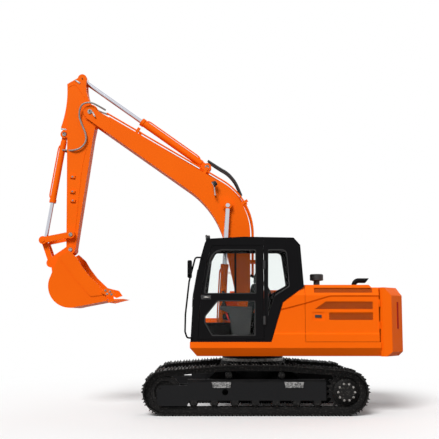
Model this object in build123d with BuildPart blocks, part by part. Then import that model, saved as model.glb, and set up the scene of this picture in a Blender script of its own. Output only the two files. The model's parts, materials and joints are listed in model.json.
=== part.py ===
"""Crawler excavator of about 14 tonnes, as an assembly of its real pieces, in millimetres.

The frame is +X forward, +Y to the left (the cab's side) and +Z up. The origin is on the ground, under the
swing axis. The boom is raised, the arm hangs down and the bucket is half curled, as the machine parks.
"""
import os
from math import atan2, cos, degrees, hypot, radians, sin, sqrt

from build123d import *

os.makedirs("parts", exist_ok=True)

# General clearances
running_gap = 6.0  # between a moving piece and its neighbours
seat_gap = 0.3  # between a piece and the seat that carries it
pin_clearance = 0.3  # radial, between a pin and its bushing

# Tracks
track_gauge = 1990.0
shoe_width = 500.0
tumbler_distance = 2930.0
link_pitch = 171.45
tumbler_pitch_radius = 291.0
link_half_height = 46.0
shoe_thickness = 10.0
grouser_height = 26.0
grouser_spread = 0.3  # share of the pitch between the three bars of a shoe
grouser_foot = 24.0
grouser_tip = 9.0
rail_spacing = 130.0
rail_width = 35.0
carrier_spacing = 860.0
carrier_radius = 60.0
carrier_height = 640.0

# Track frames
frame_width = 310.0
frame_plate = 30.0
frame_bottom = 237.0
frame_shoulder = 525.0
frame_ridge = 565.0
frame_front = 1100.0
frame_rear = -1140.0
yoke_reach = 120.0  # how far the idler yoke runs past the idler's centre
yoke_bottom = 150.0
yoke_top = 480.0
roller_count = 7
roller_spacing = 333.0
roller_radius = 70.0
roller_flange = 14.0
roller_shaft_radius = 30.0
tensioner_hole_at = (490.0, 370.0)
tensioner_hole_radius = 50.0
tie_down_at = (1545.0, 438.0)
tie_down_radius = 20.0
roller_collar = 110.0
carrier_post = 150.0
step_places = (550.0, -625.0)
step_length = 315.0
step_height = 93.0
step_top = 533.0
step_reach = 16.0
step_slant = 18.0

# Wheels of the track
idler_rim = 60.0
idler_guide = 22.0
idler_hub = 72.0
idler_web = 30.0
sprocket_teeth = 21
sprocket_width = 52.0
tooth_depth = 30.0
tooth_reach = 20.0
drive_step = 30.0
drive_radius = 205.0
drive_cover_radius = 165.0
drive_cover_reach = 195.0

# Car body and swing bearing
car_body_bottom = 440.0
car_body_top = 820.0
car_body_radius = 560.0
leg_root_y = 180.0
leg_root_x = 330.0
leg_root_z = 600.0
leg_root_size = (400.0, 300.0)
leg_foot_x = 640.0
leg_foot_z = 400.0
leg_foot_size = (360.0, 230.0)
ring_outer = 530.0
ring_inner = 305.0
ring_height = 50.0

# Upper frame
deck_bottom = 945.0
deck_plate = 25.0
deck_half_width = 1245.0
deck_top = 1174.0
deck_front = 1060.0
deck_channel = 360.0  # half width of the open channel where the boom cylinders lie
skirt_plate = 20.0
skirt_face = 94.0
skirt_chamfer = 97.0
deck_nose_cut = 114.0  # how far the deck's lower front corner is cut back
deck_floor_half = 900.0
bracket_inner = 201.0
lug_radius = 100.0
tail_slope = 850.0
cylinder_pin_radius = 36.0
bracket_plate = 40.0
tail_beam_height = 1250.0
house_wall = 40.0

# Counterweight
weight_front = -2030.0
weight_rear = -2535.0
weight_corner = -2208.0
weight_corner_rear = -2440.0
weight_corner_half = 950.0
weight_bottom = 943.0
weight_top = 2055.0
weight_edge = 40.0
weight_brow = 95.0  # how far the sloped rear edge runs in on top
weight_brow_drop = 132.0
weight_heel = 70.0
weight_wall = 90.0
lifting_thread = 30.0
lifting_depth = 60.0
lifting_spread = 1100.0
lifting_setback = 220.0

# Engine house
house_front = -812.0
house_top = 2099.0
house_step = -1865.0  # where the top slopes down to the counterweight
house_step_run = 36.0
shoulder_low = 1926.0
shoulder_half_width = 1140.0
shoulder_skin = 38.0  # upright, through the sloped shoulder
roof_half_width = 1115.0
low_roof_half_width = 1138.0
door_recess = 22.0
recess_low = 1300.0
recess_line = ((-2150.0, 1926.0), (-1215.0, 1926.0), (-803.0, 1804.0), (-464.0, 1716.0), (-100.0, 1622.0))
hood_front = -880.0
hood_rear = -1690.0
hood_left = 480.0
hood_right = -760.0
hinge_radius = 10.0
hinge_length = 60.0
hinge_gap = 24.0  # between the door's rear edge and the counterweight
hinge_inset = 14.0
hinge_heights = (1380.0, 1740.0)
grille_rear = -1908.0
grille_upper = ((-959.0, 1968.0), (-959.0, 2050.0))
grille_middle = ((-965.0, 1703.0), (-1150.0, 1825.0))
grille_lower = ((-1198.0, 1527.0), (-1198.0, 1649.0))
latch_at = (-1021.0, 1588.0)
latch_size = (190.0, 133.0)
latch_depth = 10.0
hood_hinge_x = -883.0
hood_hinge_rise = 14.0
wall_front = -832.0
post_size = 60.0
engine_x = -1500.0
engine_size = (860.0, 1300.0, 640.0)
engine_round = 60.0
pre_cleaner_at = (-1063.0, 680.0)
pre_cleaner_radius = 113.0
pre_cleaner_neck = 52.0
pre_cleaner_neck_height = 78.0
pre_cleaner_height = 196.0
pre_cleaner_edge = 14.0
exhaust_at = (-1854.0, -300.0)
exhaust_radius = 44.0
exhaust_foot = 2000.0
exhaust_height = 2227.0
exhaust_reach = 271.0
exhaust_slant = 74.0
exhaust_bend = 85.0

# Tanks and tool box on the right
tank_inset = 5.0
tank_inner = 420.0
tank_split = -150.0
tank_gap = 10.0
tank_round = 25.0
tank_wall = 30.0
fuel_tank_front = 520.0
fuel_tank_top = 2000.0
hydraulic_tank_top = 2060.0
filler_radius = 70.0
filler_height = 50.0
filler_setback = 200.0
tool_box_inner = 560.0
tool_box_gap = 30.0
tool_box_setback = 20.0
tool_box_top = 1520.0
tool_box_wall = 20.0
tool_box_lid_height = 30.0

# Cab
cab_front_foot = (1052.0, 1174.0)
cab_front_waist = (1020.0, 1776.0)
cab_front_cheek = (968.0, 2179.0)
cab_front_brow = (894.0, 2531.0)
cab_front_eave = (820.0, 2790.0)
cab_rear_eave = (-706.0, 2790.0)
cab_rear_brow = (-742.0, 2749.0)
cab_rear_waist = (-795.0, 2071.0)
cab_rear_knee = (-448.0, 1816.0)
cab_rear_foot = (-255.0, 1174.0)
cab_left = 1213.0
cab_right = 360.0
cab_wall = 55.0
cab_eave = 2790.0
cab_roof_front = (780.0, 2851.0)
cab_roof_crown = (181.0, 2885.0)
cab_roof_rear = (-634.0, 2871.0)
cab_roof_round = 40.0
roof_plate = 12.0
cab_post = 125.0
cab_door_rear = -138.0
cab_door_sill = 1215.0
cab_door_head = 2735.0
cab_front_split = 640.0
cab_rear_split = -150.0
windscreen_sill = 1760.0
window_top = 2700.0
mullion_at = 322.0
mullion_width = 34.0
mullion_depth = 18.0
lower_glass_sill = 1270.0
lower_glass_top = 1680.0
windscreen_width = 640.0
cab_hinge_radius = 14.0
cab_hinge_x = -147.0
cab_hinge_y = 1230.0
cab_hinge_heights = (1480.0, 2380.0)
seat_x = 60.0
seat_height = 1640.0
seat_width = 500.0
console_width = 90.0
console_height = 1760.0
lever_radius = 18.0
lever_height = 190.0
glass_thickness = 8.0
rail_y = 1236.0
rail_radius = 14.0
rail_bend = 45.0
rail_route = (
    (866.0, 2540.0),
    (975.0, 2542.0),
    (1075.0, 2151.0),
    (1133.0, 1615.0),
    (1138.0, 1340.0),
    (1105.0, 1240.0),
    (1024.0, 1240.0),
)
mirror_at = (1064.0, 2346.0)
mirror_size = (70.0, 284.0)
mirror_reach = 130.0
mirror_round = 20.0

# Boom
boom_foot = (140.0, 1563.0)
boom_length = 4600.0
boom_angle = 53.0
boom_width = 390.0
boom_wall = 14.0
boom_foot_radius = 150.0
boom_nose_radius = 118.0
boom_back_bend = (1600.0, 1336.0)
boom_belly_bend = (1790.0, 757.0)
boom_back_rise = 73.0
boom_heel_set = 60.0
boom_heel_drop = 40.0
boom_nose_set = 40.0
boom_nose_rise = 107.0
boom_nose_drop = 125.0
boom_back_round = 1075.0
boom_belly_round = 1610.0
fork_gap = 320.0
fork_depth = 450.0
boom_foot_pin_radius = 45.0
arm_pin_radius = 42.0
pin_head = 15.0
boom_boss_radius = 95.0
arm_lug_radius = 75.0
arm_lug_base = 190.0
pipe_from = 0.35
pipe_to = 0.94
pipe_height = 50.0
pipe_spread = 330.0
pipe_radius = 15.0
pipe_clamp = 50.0
pipe_clamp_width = 36.0
pipe_clamp_shift = 5.0
pipe_clamp_places = (0.06, 0.31, 0.52, 0.85)

# Boom cylinders
boom_cylinder_foot = (555.0, 1275.0)
boom_cylinder_eye = (1746.0, 946.0)  # along and above the boom's axis
boom_cylinder_half_spread = 270.0
boom_barrel_radius = 62.0
boom_barrel_length = 1215.0
boom_rod_radius = 42.0
boom_rod_length = 1270.0
boom_eye_width = 50.0
boom_eye_radius = 72.0
gland_length = 60.0

# Arm
arm_length = 2500.0
arm_angle = -83.1
arm_width = 290.0
arm_wall = 14.0
arm_tail_pin = (-601.0, 232.0)  # along and in front of the arm's axis
arm_tail_radius = 80.0
arm_pivot_radius = 142.0
arm_nose_radius = 80.0
arm_boss_half = 155.0
arm_shoulder = (470.0, 482.0)  # before the pivot, in front of the axis
arm_heel = (454.0, 112.0)
arm_neck = (330.0, 105.0)
bucket_lug_radius = 70.0
bucket_lug_base = 140.0
bracket_back = (-488.0, 502.0)
bracket_waist = (20.0, 462.0)
bracket_front = (324.0, 499.0)
tail_slot = 112.0
tail_slot_depth = 220.0

# Arm cylinder
arm_cylinder_foot = (2542.0, 1083.0)  # along and above the boom's axis
arm_barrel_radius = 64.0
arm_barrel_length = 1463.0
arm_rod_radius = 42.0
arm_rod_length = 1570.0
arm_eye_width = 100.0
arm_rod_eye_radius = 78.0
lug_plate = 30.0

# Bucket and its linkage
bucket_angle = -138.6  # from the pivot to the tooth tips
bucket_width = 980.0
bucket_shell = 18.0
tooth_radius = 1320.0
tooth_count = 5
tooth_width = 78.0
bucket_pin_radius = 34.0
bucket_ear_inner = 146.0
bucket_ear_plate = 35.0
bucket_link_pin = (-98.0, 400.0)  # along and behind the line to the tooth tips
bucket_cylinder_foot = (443.0, 422.0)  # along and in front of the arm's axis
rocker_pin = (2240.0, 25.0)
rocker_length = 498.0
rocker_plate = 35.0
rocker_inner = 202.0
link_length = 424.0
link_plate = 40.0
link_inner = 100.0
bucket_barrel_radius = 54.0
bucket_barrel_length = 1253.0
bucket_rod_radius = 35.0
bucket_rod_length = 1250.0
bucket_eye_width = 90.0
bucket_rod_eye_radius = 62.0
rocker_boss_radius = 70.0
link_boss_radius = 68.0
link_web = 90.0
link_web_place = 0.68
bucket_ear_radius = 80.0
bucket_heel = (127.0, 596.0)
bucket_crown = (-11.0, 211.0)
bucket_brow = (60.0, 10.0)
bucket_rim = (150.0, 112.0)  # the upper edge of the rolled sheet
bucket_mouth = ((1042.0, 149.0), (852.0, 110.0), (607.0, 102.0), (386.0, 60.0), (238.0, 12.0))
bucket_lip = (1130.0, 210.0)
bucket_sole = (799.0, 638.0)
bucket_belly = (453.0, 820.0)
bucket_seam = ((860.0, 350.0), (558.0, 313.0), (426.0, 291.0))
bucket_doubler = 12.0
side_cutter = ((942.0, 72.0), (1052.0, 12.0), (1165.0, 38.0), (1108.0, 140.0), (960.0, 180.0))
side_cutter_plate = 25.0
tooth_rise = 40.0
tooth_root = 30.0


def side_plane(y=0.0, at=(0.0, 0.0), angle=0.0):
    """An upright plane seen from the right: local x runs along the angle in X and Z, local y is above it."""
    turn = radians(angle)
    return Plane(origin=(at[0], y, at[1]), x_dir=(cos(turn), 0, sin(turn)), z_dir=(0, -1, 0))


def placed(at, angle, along, above):
    """The (X, Z) place of a point that is given along and above a member's axis."""
    turn = radians(angle)
    x = at[0] + along * cos(turn) - above * sin(turn)
    return (x, at[1] + along * sin(turn) + above * cos(turn))


def span(start, end):
    """The length and the angle of the line between two (X, Z) places."""
    return hypot(end[0] - start[0], end[1] - start[1]), degrees(atan2(end[1] - start[1], end[0] - start[0]))


def finish_piece(builder, name):
    """Label a finished piece and write it."""
    builder.part.label = name
    export_step(builder.part, f"parts/{name}.step")


# Pivots in X and Z, from the boom's foot out to the bucket
boom_tip = placed(boom_foot, boom_angle, boom_length, 0)
boom_eye = placed(boom_foot, boom_angle, *boom_cylinder_eye)
arm_foot = placed(boom_foot, boom_angle, *arm_cylinder_foot)
arm_eye = placed(boom_tip, arm_angle, *arm_tail_pin)
bucket_pivot = placed(boom_tip, arm_angle, arm_length, 0)
bucket_foot = placed(boom_tip, arm_angle, *bucket_cylinder_foot)
rocker_pivot = placed(boom_tip, arm_angle, *rocker_pin)
link_end = placed(bucket_pivot, bucket_angle, *bucket_link_pin)
link_span, link_base_angle = span(rocker_pivot, link_end)
rocker_share = (rocker_length**2 - link_length**2 + link_span**2) / (2 * link_span)
rocker_rise = sqrt(rocker_length**2 - rocker_share**2)
rocker_end = placed(rocker_pivot, link_base_angle, rocker_share, rocker_rise)
rocker_angle = span(rocker_pivot, rocker_end)[1]
link_angle = span(rocker_end, link_end)[1]
boom_cylinder_length, boom_cylinder_angle = span(boom_cylinder_foot, boom_eye)
arm_cylinder_length, arm_cylinder_angle = span(arm_foot, arm_eye)
bucket_cylinder_length, bucket_cylinder_angle = span(bucket_foot, rocker_end)

# Levels of the undercarriage
pin_line_height = grouser_height + shoe_thickness + link_half_height
tumbler_height = pin_line_height + tumbler_pitch_radius
tumbler_x = tumbler_distance / 2
track_y = track_gauge / 2
rail_top = pin_line_height + link_half_height
roller_height = rail_top + roller_radius

# The pin line of a track: round both tumblers and over the carrier rollers
with BuildSketch() as pin_line_sketch:
    with Locations((tumbler_x, tumbler_height), (-tumbler_x, tumbler_height)):
        Circle(tumbler_pitch_radius)
    with Locations((carrier_spacing / 2, carrier_height), (-carrier_spacing / 2, carrier_height)):
        Circle(carrier_radius + link_half_height)
    make_hull(pin_line_sketch.edges())
pin_line = pin_line_sketch.face().outer_wire()
shoe_count = round(pin_line.length / link_pitch)
shoe_pitch = pin_line.length / shoe_count
track_middle = Vector(0, tumbler_height)
ground_middle = pin_line.distance_to_with_closest_points(Vector(0, pin_line_height))[1]
ground_share = pin_line.param_at_point(ground_middle)  # a pin stands here, so both ends lift alike


def beside_pin_line(share, along, out):
    """A point beside the pin line: at a share of its length from the middle of the ground run, along and outwards."""
    place_share = (share + ground_share) % 1.0
    point = pin_line.position_at(place_share)
    heading = pin_line.tangent_at(place_share)
    normal = Vector(heading.Y, -heading.X)
    if normal.dot(point - track_middle) < 0:
        normal = -normal
    place = point + heading * along + normal * out
    return (place.X, place.Y)


def shoe_outline():
    """The outer outline of a whole track: every shoe's plate with its three bars."""
    plate = link_half_height + shoe_thickness
    tip = plate + grouser_height
    points = []
    for shoe in range(shoe_count):
        middle = (shoe + 0.5) / shoe_count
        for bar in (-1, 0, 1):
            centre = bar * grouser_spread * shoe_pitch
            points.append(beside_pin_line(middle, centre - grouser_foot / 2, plate))
            points.append(beside_pin_line(middle, centre - grouser_tip / 2, tip))
            points.append(beside_pin_line(middle, centre + grouser_tip / 2, tip))
            points.append(beside_pin_line(middle, centre + grouser_foot / 2, plate))
    return points


def link_outline(out):
    """The outline of the chain, straight from pin to pin."""
    return [beside_pin_line(pin / shoe_count, 0, out) for pin in range(shoe_count)]


with BuildPart() as left_track:
    with BuildSketch(side_plane(track_y)):
        Polygon(*shoe_outline(), align=None)
        Polygon(*link_outline(link_half_height), align=None, mode=Mode.SUBTRACT)
    extrude(amount=shoe_width / 2, both=True)
    for rail in (-rail_spacing / 2, rail_spacing / 2):
        with BuildSketch(side_plane(track_y + rail)):
            Polygon(*link_outline(link_half_height), align=None)
            Polygon(*link_outline(-link_half_height), align=None, mode=Mode.SUBTRACT)
        extrude(amount=rail_width / 2, both=True)
finish_piece(left_track, "left_track")

with BuildPart() as right_track:
    mirror(left_track.part, about=Plane.XZ)
finish_piece(right_track, "right_track")

# Track frames: a roofed beam over the rollers, a yoke for the idler and a plate for the final drive
frame_half = frame_width / 2
channel_half = frame_half - frame_plate
channel_top = roller_height + roller_radius + roller_flange + running_gap
with BuildPart() as track_frames:
    with BuildSketch(Plane.YZ.offset(frame_rear)):
        with BuildLine():
            Polyline(
                (track_y - frame_half, frame_bottom),
                (track_y - channel_half, frame_bottom),
                (track_y - channel_half, channel_top),
                (track_y + channel_half, channel_top),
                (track_y + channel_half, frame_bottom),
                (track_y + frame_half, frame_bottom),
                (track_y + frame_half, frame_shoulder),
                (track_y + frame_half / 3, frame_ridge),
                (track_y - frame_half / 3, frame_ridge),
                (track_y - frame_half, frame_shoulder),
                close=True,
            )
        make_face()
    extrude(amount=frame_front - frame_rear)
    with BuildSketch(Plane.YZ.offset(frame_rear + frame_plate)):
        with Locations((track_y, channel_top + frame_plate / 2)):
            Rectangle(
                2 * channel_half,
                frame_shoulder - channel_top - frame_plate,
                align=(Align.CENTER, Align.MIN),
            )
    extrude(amount=frame_front - frame_rear - 2 * frame_plate, mode=Mode.SUBTRACT)
    for top in (track_y + frame_half, track_y - channel_half):
        with BuildSketch(side_plane(top)):
            with BuildLine():
                FilletPolyline(
                    (frame_front - frame_plate, frame_bottom),
                    (frame_front, yoke_bottom),
                    (tumbler_x + yoke_reach, yoke_bottom),
                    (tumbler_x + yoke_reach, yoke_top),
                    (frame_front, yoke_top),
                    (frame_front - frame_plate, frame_shoulder),
                    radius=[0, 0, yoke_reach / 2, yoke_reach / 2, 0, 0],
                    close=True,
                )
            make_face()
        extrude(amount=frame_plate)
    with BuildSketch(side_plane(track_y - channel_half)):
        Polygon(
            (frame_rear + frame_plate, frame_bottom),
            (-tumbler_x, tumbler_height - drive_radius),
            (-tumbler_x, tumbler_height + drive_radius),
            (frame_rear + frame_plate, frame_shoulder),
            align=None,
        )
        with Locations((-tumbler_x, tumbler_height)):
            Circle(drive_radius)
    extrude(amount=frame_plate)
    for x in (carrier_spacing / 2, -carrier_spacing / 2):
        with BuildSketch(side_plane(track_y - channel_half)):
            with Locations((x, carrier_height)):
                Circle(roller_shaft_radius * 1.5)
            Polygon(
                (x - carrier_post / 2, frame_shoulder - frame_plate),
                (x + carrier_post / 2, frame_shoulder - frame_plate),
                (x + roller_shaft_radius * 1.5, carrier_height),
                (x - roller_shaft_radius * 1.5, carrier_height),
                align=None,
            )
        extrude(amount=frame_plate)
    with BuildSketch(side_plane(track_y + frame_half + step_reach)):
        for x in step_places:
            Polygon(
                (x - step_length / 2, step_top),
                (x + step_length / 2, step_top),
                (x + step_length / 2 - step_slant, step_top - step_height),
                (x - step_length / 2 + step_slant, step_top - step_height),
                align=None,
            )
    extrude(amount=step_reach + frame_plate)
    with Locations(side_plane(track_y + frame_half, tensioner_hole_at)):
        Hole(tensioner_hole_radius, depth=frame_plate)
    with Locations(side_plane(track_y + frame_half, tie_down_at)):
        Hole(tie_down_radius, depth=frame_plate)
    mirror(about=Plane.XZ)
finish_piece(track_frames, "track_frames")


def wheel_plane(x, z, y=track_y):
    """A level plane through a wheel's centre: local x is the radius, local y runs along the axle."""
    return Plane(origin=(x, y, z), x_dir=(1, 0, 0), z_dir=(0, 0, 1))


def axle_axis(x, z, y=track_y):
    """The axis of a wheel, across the machine."""
    return Axis((x, y, z), (0, 1, 0))


rail_outer = (rail_spacing + rail_width) / 2
rail_inner = (rail_spacing - rail_width) / 2
with BuildPart() as idlers:
    half_link_turn = shoe_pitch / 2 / tumbler_pitch_radius
    tread = (tumbler_pitch_radius - link_half_height) * cos(half_link_turn) - seat_gap
    with BuildSketch(wheel_plane(tumbler_x, tumbler_height)):
        with BuildLine():
            Polyline(
                (0, -channel_half + seat_gap),
                (idler_hub, -channel_half + seat_gap),
                (idler_hub, -idler_web),
                (tread - idler_rim, -idler_web),
                (tread - idler_rim, -rail_outer),
                (tread, -rail_outer),
                (tread, -rail_inner + running_gap),
                (tread + idler_guide, -rail_inner + 2 * running_gap),
                (tread + idler_guide, rail_inner - 2 * running_gap),
                (tread, rail_inner - running_gap),
                (tread, rail_outer),
                (tread - idler_rim, rail_outer),
                (tread - idler_rim, idler_web),
                (idler_hub, idler_web),
                (idler_hub, channel_half - seat_gap),
                (0, channel_half - seat_gap),
                close=True,
            )
        make_face()
    revolve(axis=axle_axis(tumbler_x, tumbler_height))
    mirror(about=Plane.XZ)
finish_piece(idlers, "idlers")

with BuildPart() as sprockets:
    root_radius = tumbler_pitch_radius - tooth_depth
    tip_radius = tumbler_pitch_radius + tooth_reach
    with BuildSketch(side_plane(track_y, (-tumbler_x, tumbler_height))):
        Circle(root_radius)
        with PolarLocations(0, sprocket_teeth):
            Polygon(
                (root_radius - tooth_depth / 2, -tooth_depth),
                (tip_radius, -tooth_depth / 3),
                (tip_radius, tooth_depth / 3),
                (root_radius - tooth_depth / 2, tooth_depth),
                align=None,
            )
    extrude(amount=sprocket_width / 2, both=True)
    with BuildSketch(wheel_plane(-tumbler_x, tumbler_height)):
        with BuildLine():
            Polyline(
                (0, -channel_half),
                (drive_radius, -channel_half),
                (drive_radius, frame_half - drive_step),
                (drive_cover_radius, frame_half),
                (drive_cover_radius, drive_cover_reach - drive_step),
                (drive_cover_radius - drive_step, drive_cover_reach),
                (0, drive_cover_reach),
                close=True,
            )
        make_face()
    revolve(axis=axle_axis(-tumbler_x, tumbler_height))
    mirror(about=Plane.XZ)
finish_piece(sprockets, "sprockets")

with BuildPart() as track_rollers:
    first_roller = (roller_count - 1) / 2 * roller_spacing
    for roller in range(roller_count):
        x = first_roller - roller * roller_spacing
        with BuildSketch(wheel_plane(x, roller_height)):
            with BuildLine():
                Polyline(
                    (0, -frame_half),
                    (roller_shaft_radius, -frame_half),
                    (roller_shaft_radius, -rail_outer - roller_flange),
                    (roller_radius - seat_gap, -rail_outer - roller_flange),
                    (roller_radius - seat_gap, rail_outer + roller_flange),
                    (roller_shaft_radius, rail_outer + roller_flange),
                    (roller_shaft_radius, frame_half),
                    (0, frame_half),
                    close=True,
                )
            make_face()
        revolve(axis=axle_axis(x, roller_height))
        for top in (track_y + frame_half, track_y - channel_half):
            with BuildSketch(side_plane(top)):
                with Locations((x, frame_bottom)):
                    Rectangle(
                        roller_collar,
                        frame_bottom - roller_height + roller_shaft_radius,
                        align=(Align.CENTER, Align.MAX),
                    )
            extrude(amount=frame_plate)
    mirror(about=Plane.XZ)
finish_piece(track_rollers, "track_rollers")

with BuildPart() as carrier_rollers:
    wheel = carrier_radius - running_gap
    for x in (carrier_spacing / 2, -carrier_spacing / 2):
        with BuildSketch(wheel_plane(x, carrier_height)):
            with BuildLine():
                Polyline(
                    (0, -channel_half),
                    (roller_shaft_radius, -channel_half),
                    (roller_shaft_radius, -rail_outer - roller_flange),
                    (wheel, -rail_outer - roller_flange),
                    (wheel, rail_outer + roller_flange),
                    (wheel / 2, rail_outer + 2 * roller_flange),
                    (0, rail_outer + 2 * roller_flange),
                    close=True,
                )
            make_face()
        revolve(axis=axle_axis(x, carrier_height))
    mirror(about=Plane.XZ)
finish_piece(carrier_rollers, "carrier_rollers")

with BuildPart() as car_body:
    with BuildSketch(Plane.XY.offset(car_body_bottom)):
        Circle(car_body_radius)
    extrude(amount=car_body_top - car_body_bottom)
    for side in (1, -1):
        with BuildSketch(side_plane(leg_root_y)):
            with Locations((side * leg_root_x, leg_root_z)):
                Rectangle(leg_root_size[0], leg_root_size[1])
        with BuildSketch(side_plane(track_y - frame_half)):
            with Locations((side * leg_foot_x, leg_foot_z)):
                Rectangle(leg_foot_size[0], leg_foot_size[1])
        loft()
    mirror(about=Plane.XZ)
    with BuildSketch(Plane.XY.offset(car_body_bottom + frame_plate)):
        Circle(car_body_radius - frame_plate)
    extrude(amount=car_body_top - car_body_bottom - 2 * frame_plate, mode=Mode.SUBTRACT)
finish_piece(car_body, "car_body")

with BuildPart() as swing_ring:
    with BuildSketch(Plane.XY.offset(car_body_top)):
        Circle(ring_outer)
        Circle(ring_inner, mode=Mode.SUBTRACT)
    extrude(amount=ring_height)
finish_piece(swing_ring, "swing_ring")

# Main frame: bottom plate on the upper swing ring, with the two long plates that carry boom and cylinders
floor_z = deck_bottom + deck_plate
upper_ring_bottom = car_body_top + ring_height + seat_gap
lug_outer_face = boom_cylinder_half_spread + boom_eye_width / 2 + running_gap
with BuildPart() as main_frame:
    with BuildSketch(Plane.XY.offset(upper_ring_bottom)):
        Circle(ring_outer)
        Circle(ring_inner, mode=Mode.SUBTRACT)
    extrude(amount=deck_bottom - upper_ring_bottom)
    with BuildSketch(Plane.XY.offset(deck_bottom)):
        Polygon(
            (weight_front, -deck_floor_half),
            (deck_front - deck_nose_cut, -deck_floor_half),
            (deck_front - deck_nose_cut, deck_floor_half),
            (weight_front, deck_floor_half),
            align=None,
        )
    extrude(amount=deck_plate)
    for top in (bracket_inner + bracket_plate, -bracket_inner):
        with BuildSketch(side_plane(top)):
            lug_side = placed(boom_cylinder_foot, 165, lug_radius, 0)
            foot_side = placed(boom_foot, -10, boom_foot_radius, 0)
            foot_back = placed(boom_foot, 120, boom_foot_radius, 0)
            Polygon(
                (weight_front, floor_z),
                (boom_cylinder_foot[0] + lug_radius / 2, floor_z),
                (boom_cylinder_foot[0] + lug_radius * 0.9, boom_cylinder_foot[1] - lug_radius / 2),
                boom_cylinder_foot,
                lug_side,
                foot_side,
                foot_back,
                (boom_foot[0] - tail_slope, tail_beam_height),
                (weight_front, tail_beam_height),
                align=None,
            )
            with Locations(boom_cylinder_foot):
                Circle(lug_radius)
            with Locations(boom_foot):
                Circle(boom_foot_radius)
        extrude(amount=bracket_plate)
    for top in (lug_outer_face + lug_plate, -lug_outer_face):
        with BuildSketch(side_plane(top)):
            with Locations(boom_cylinder_foot):
                Circle(lug_radius)
            Polygon(
                (boom_cylinder_foot[0] - 2 * lug_radius, floor_z),
                (boom_cylinder_foot[0] + lug_radius / 2, floor_z),
                (boom_cylinder_foot[0] + lug_radius * 0.9, boom_cylinder_foot[1] - lug_radius / 2),
                boom_cylinder_foot,
                (boom_cylinder_foot[0] - lug_radius, boom_cylinder_foot[1]),
                align=None,
            )
        extrude(amount=lug_plate)
    with BuildSketch(side_plane()):
        with Locations(boom_foot):
            Circle(boom_foot_pin_radius + pin_clearance)
        with Locations(boom_cylinder_foot):
            Circle(cylinder_pin_radius + pin_clearance)
    extrude(amount=deck_half_width, both=True, mode=Mode.SUBTRACT)
finish_piece(main_frame, "main_frame")

with BuildPart() as upper_pins:
    with BuildSketch(side_plane()):
        with Locations(boom_foot):
            Circle(boom_foot_pin_radius)
    extrude(amount=bracket_inner + bracket_plate + lug_plate, both=True)
    for side in (1, -1):
        middle = side * boom_cylinder_half_spread
        with BuildSketch(side_plane(middle)):
            with Locations(boom_cylinder_foot):
                Circle(cylinder_pin_radius)
        extrude(amount=boom_eye_width / 2 + running_gap + lug_plate + seat_gap, both=True)
finish_piece(upper_pins, "upper_pins")


with BuildPart() as side_decks:
    with BuildSketch(Plane.YZ.offset(weight_front)):
        with BuildLine():
            Polyline(
                (deck_channel, deck_top),
                (deck_half_width, deck_top),
                (deck_half_width, deck_top - skirt_face),
                (deck_half_width - skirt_chamfer, deck_bottom),
                (deck_floor_half, deck_bottom),
                (deck_floor_half, floor_z),
                (deck_channel, floor_z),
                close=True,
            )
        make_face()
    extrude(amount=deck_front - weight_front)
    with BuildSketch(side_plane(deck_half_width)):
        Polygon(
            (deck_front, deck_top - skirt_face),
            (deck_front, deck_bottom),
            (deck_front - deck_nose_cut, deck_bottom),
            align=None,
        )
    extrude(amount=deck_half_width, mode=Mode.SUBTRACT)
    offset(side_decks.part, amount=-skirt_plate, kind=Kind.INTERSECTION, mode=Mode.SUBTRACT)
    mirror(about=Plane.XZ)
finish_piece(side_decks, "side_decks")

with BuildPart() as counterweight:
    with BuildSketch(Plane.XY.offset(weight_bottom)):
        with BuildLine():
            Polyline(
                (weight_corner_rear, weight_corner_half),
                (weight_corner, deck_half_width),
                (weight_front - weight_edge, deck_half_width),
                (weight_front, deck_half_width - weight_edge),
                (weight_front, -deck_half_width + weight_edge),
                (weight_front - weight_edge, -deck_half_width),
                (weight_corner, -deck_half_width),
                (weight_corner_rear, -weight_corner_half),
            )
            ThreePointArc(
                (weight_corner_rear, -weight_corner_half),
                (weight_rear, 0),
                (weight_corner_rear, weight_corner_half),
            )
        make_face()
    extrude(amount=weight_top - weight_bottom)
    weight_crown = counterweight.faces().sort_by(Axis.Z)[-1]
    chamfer(
        weight_crown.edges().sort_by(Axis.X)[:3],
        length=weight_brow,
        length2=weight_brow_drop,
        reference=weight_crown,
    )
    chamfer(counterweight.faces().sort_by(Axis.Z)[0].edges().sort_by(Axis.X)[:3], length=weight_heel)
    with BuildSketch(Plane.XY.offset(weight_bottom + weight_wall)):
        with Locations((weight_front - weight_wall, 0)):
            Rectangle(
                weight_front - weight_corner_rear - 2 * weight_wall,
                2 * weight_corner_half,
                align=(Align.MAX, Align.CENTER),
            )
    extrude(amount=weight_top - weight_bottom - 2 * weight_wall, mode=Mode.SUBTRACT)
    with Locations((weight_front - lifting_setback, lifting_spread / 2, weight_top)):
        Hole(lifting_thread / 2, depth=lifting_depth)
    with Locations((weight_front - lifting_setback, -lifting_spread / 2, weight_top)):
        Hole(lifting_thread / 2, depth=lifting_depth)
finish_piece(counterweight, "counterweight")

# Engine house: a fire wall and rear posts under a stepped top, with a hood and a door on each side
door_front = house_front
door_rear = weight_front + hinge_gap
hinge_x = weight_front + hinge_gap / 2
hinge_y = deck_half_width - hinge_inset
door_inner = deck_half_width - house_wall
wall_half = door_inner - running_gap
lid_under = house_top - house_wall
low_lid_under = weight_top - house_wall
hood_hinge_z = house_top + hood_hinge_rise
step_end = house_step - house_step_run
shoulder_slope = (house_top - shoulder_low) / (deck_half_width - shoulder_half_width)
door_edge = roof_half_width + running_gap


def under_shoulder(y):
    """The height of the shoulder's inner face at a distance from the middle."""
    return shoulder_low + (deck_half_width - y) * shoulder_slope - shoulder_skin


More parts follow.
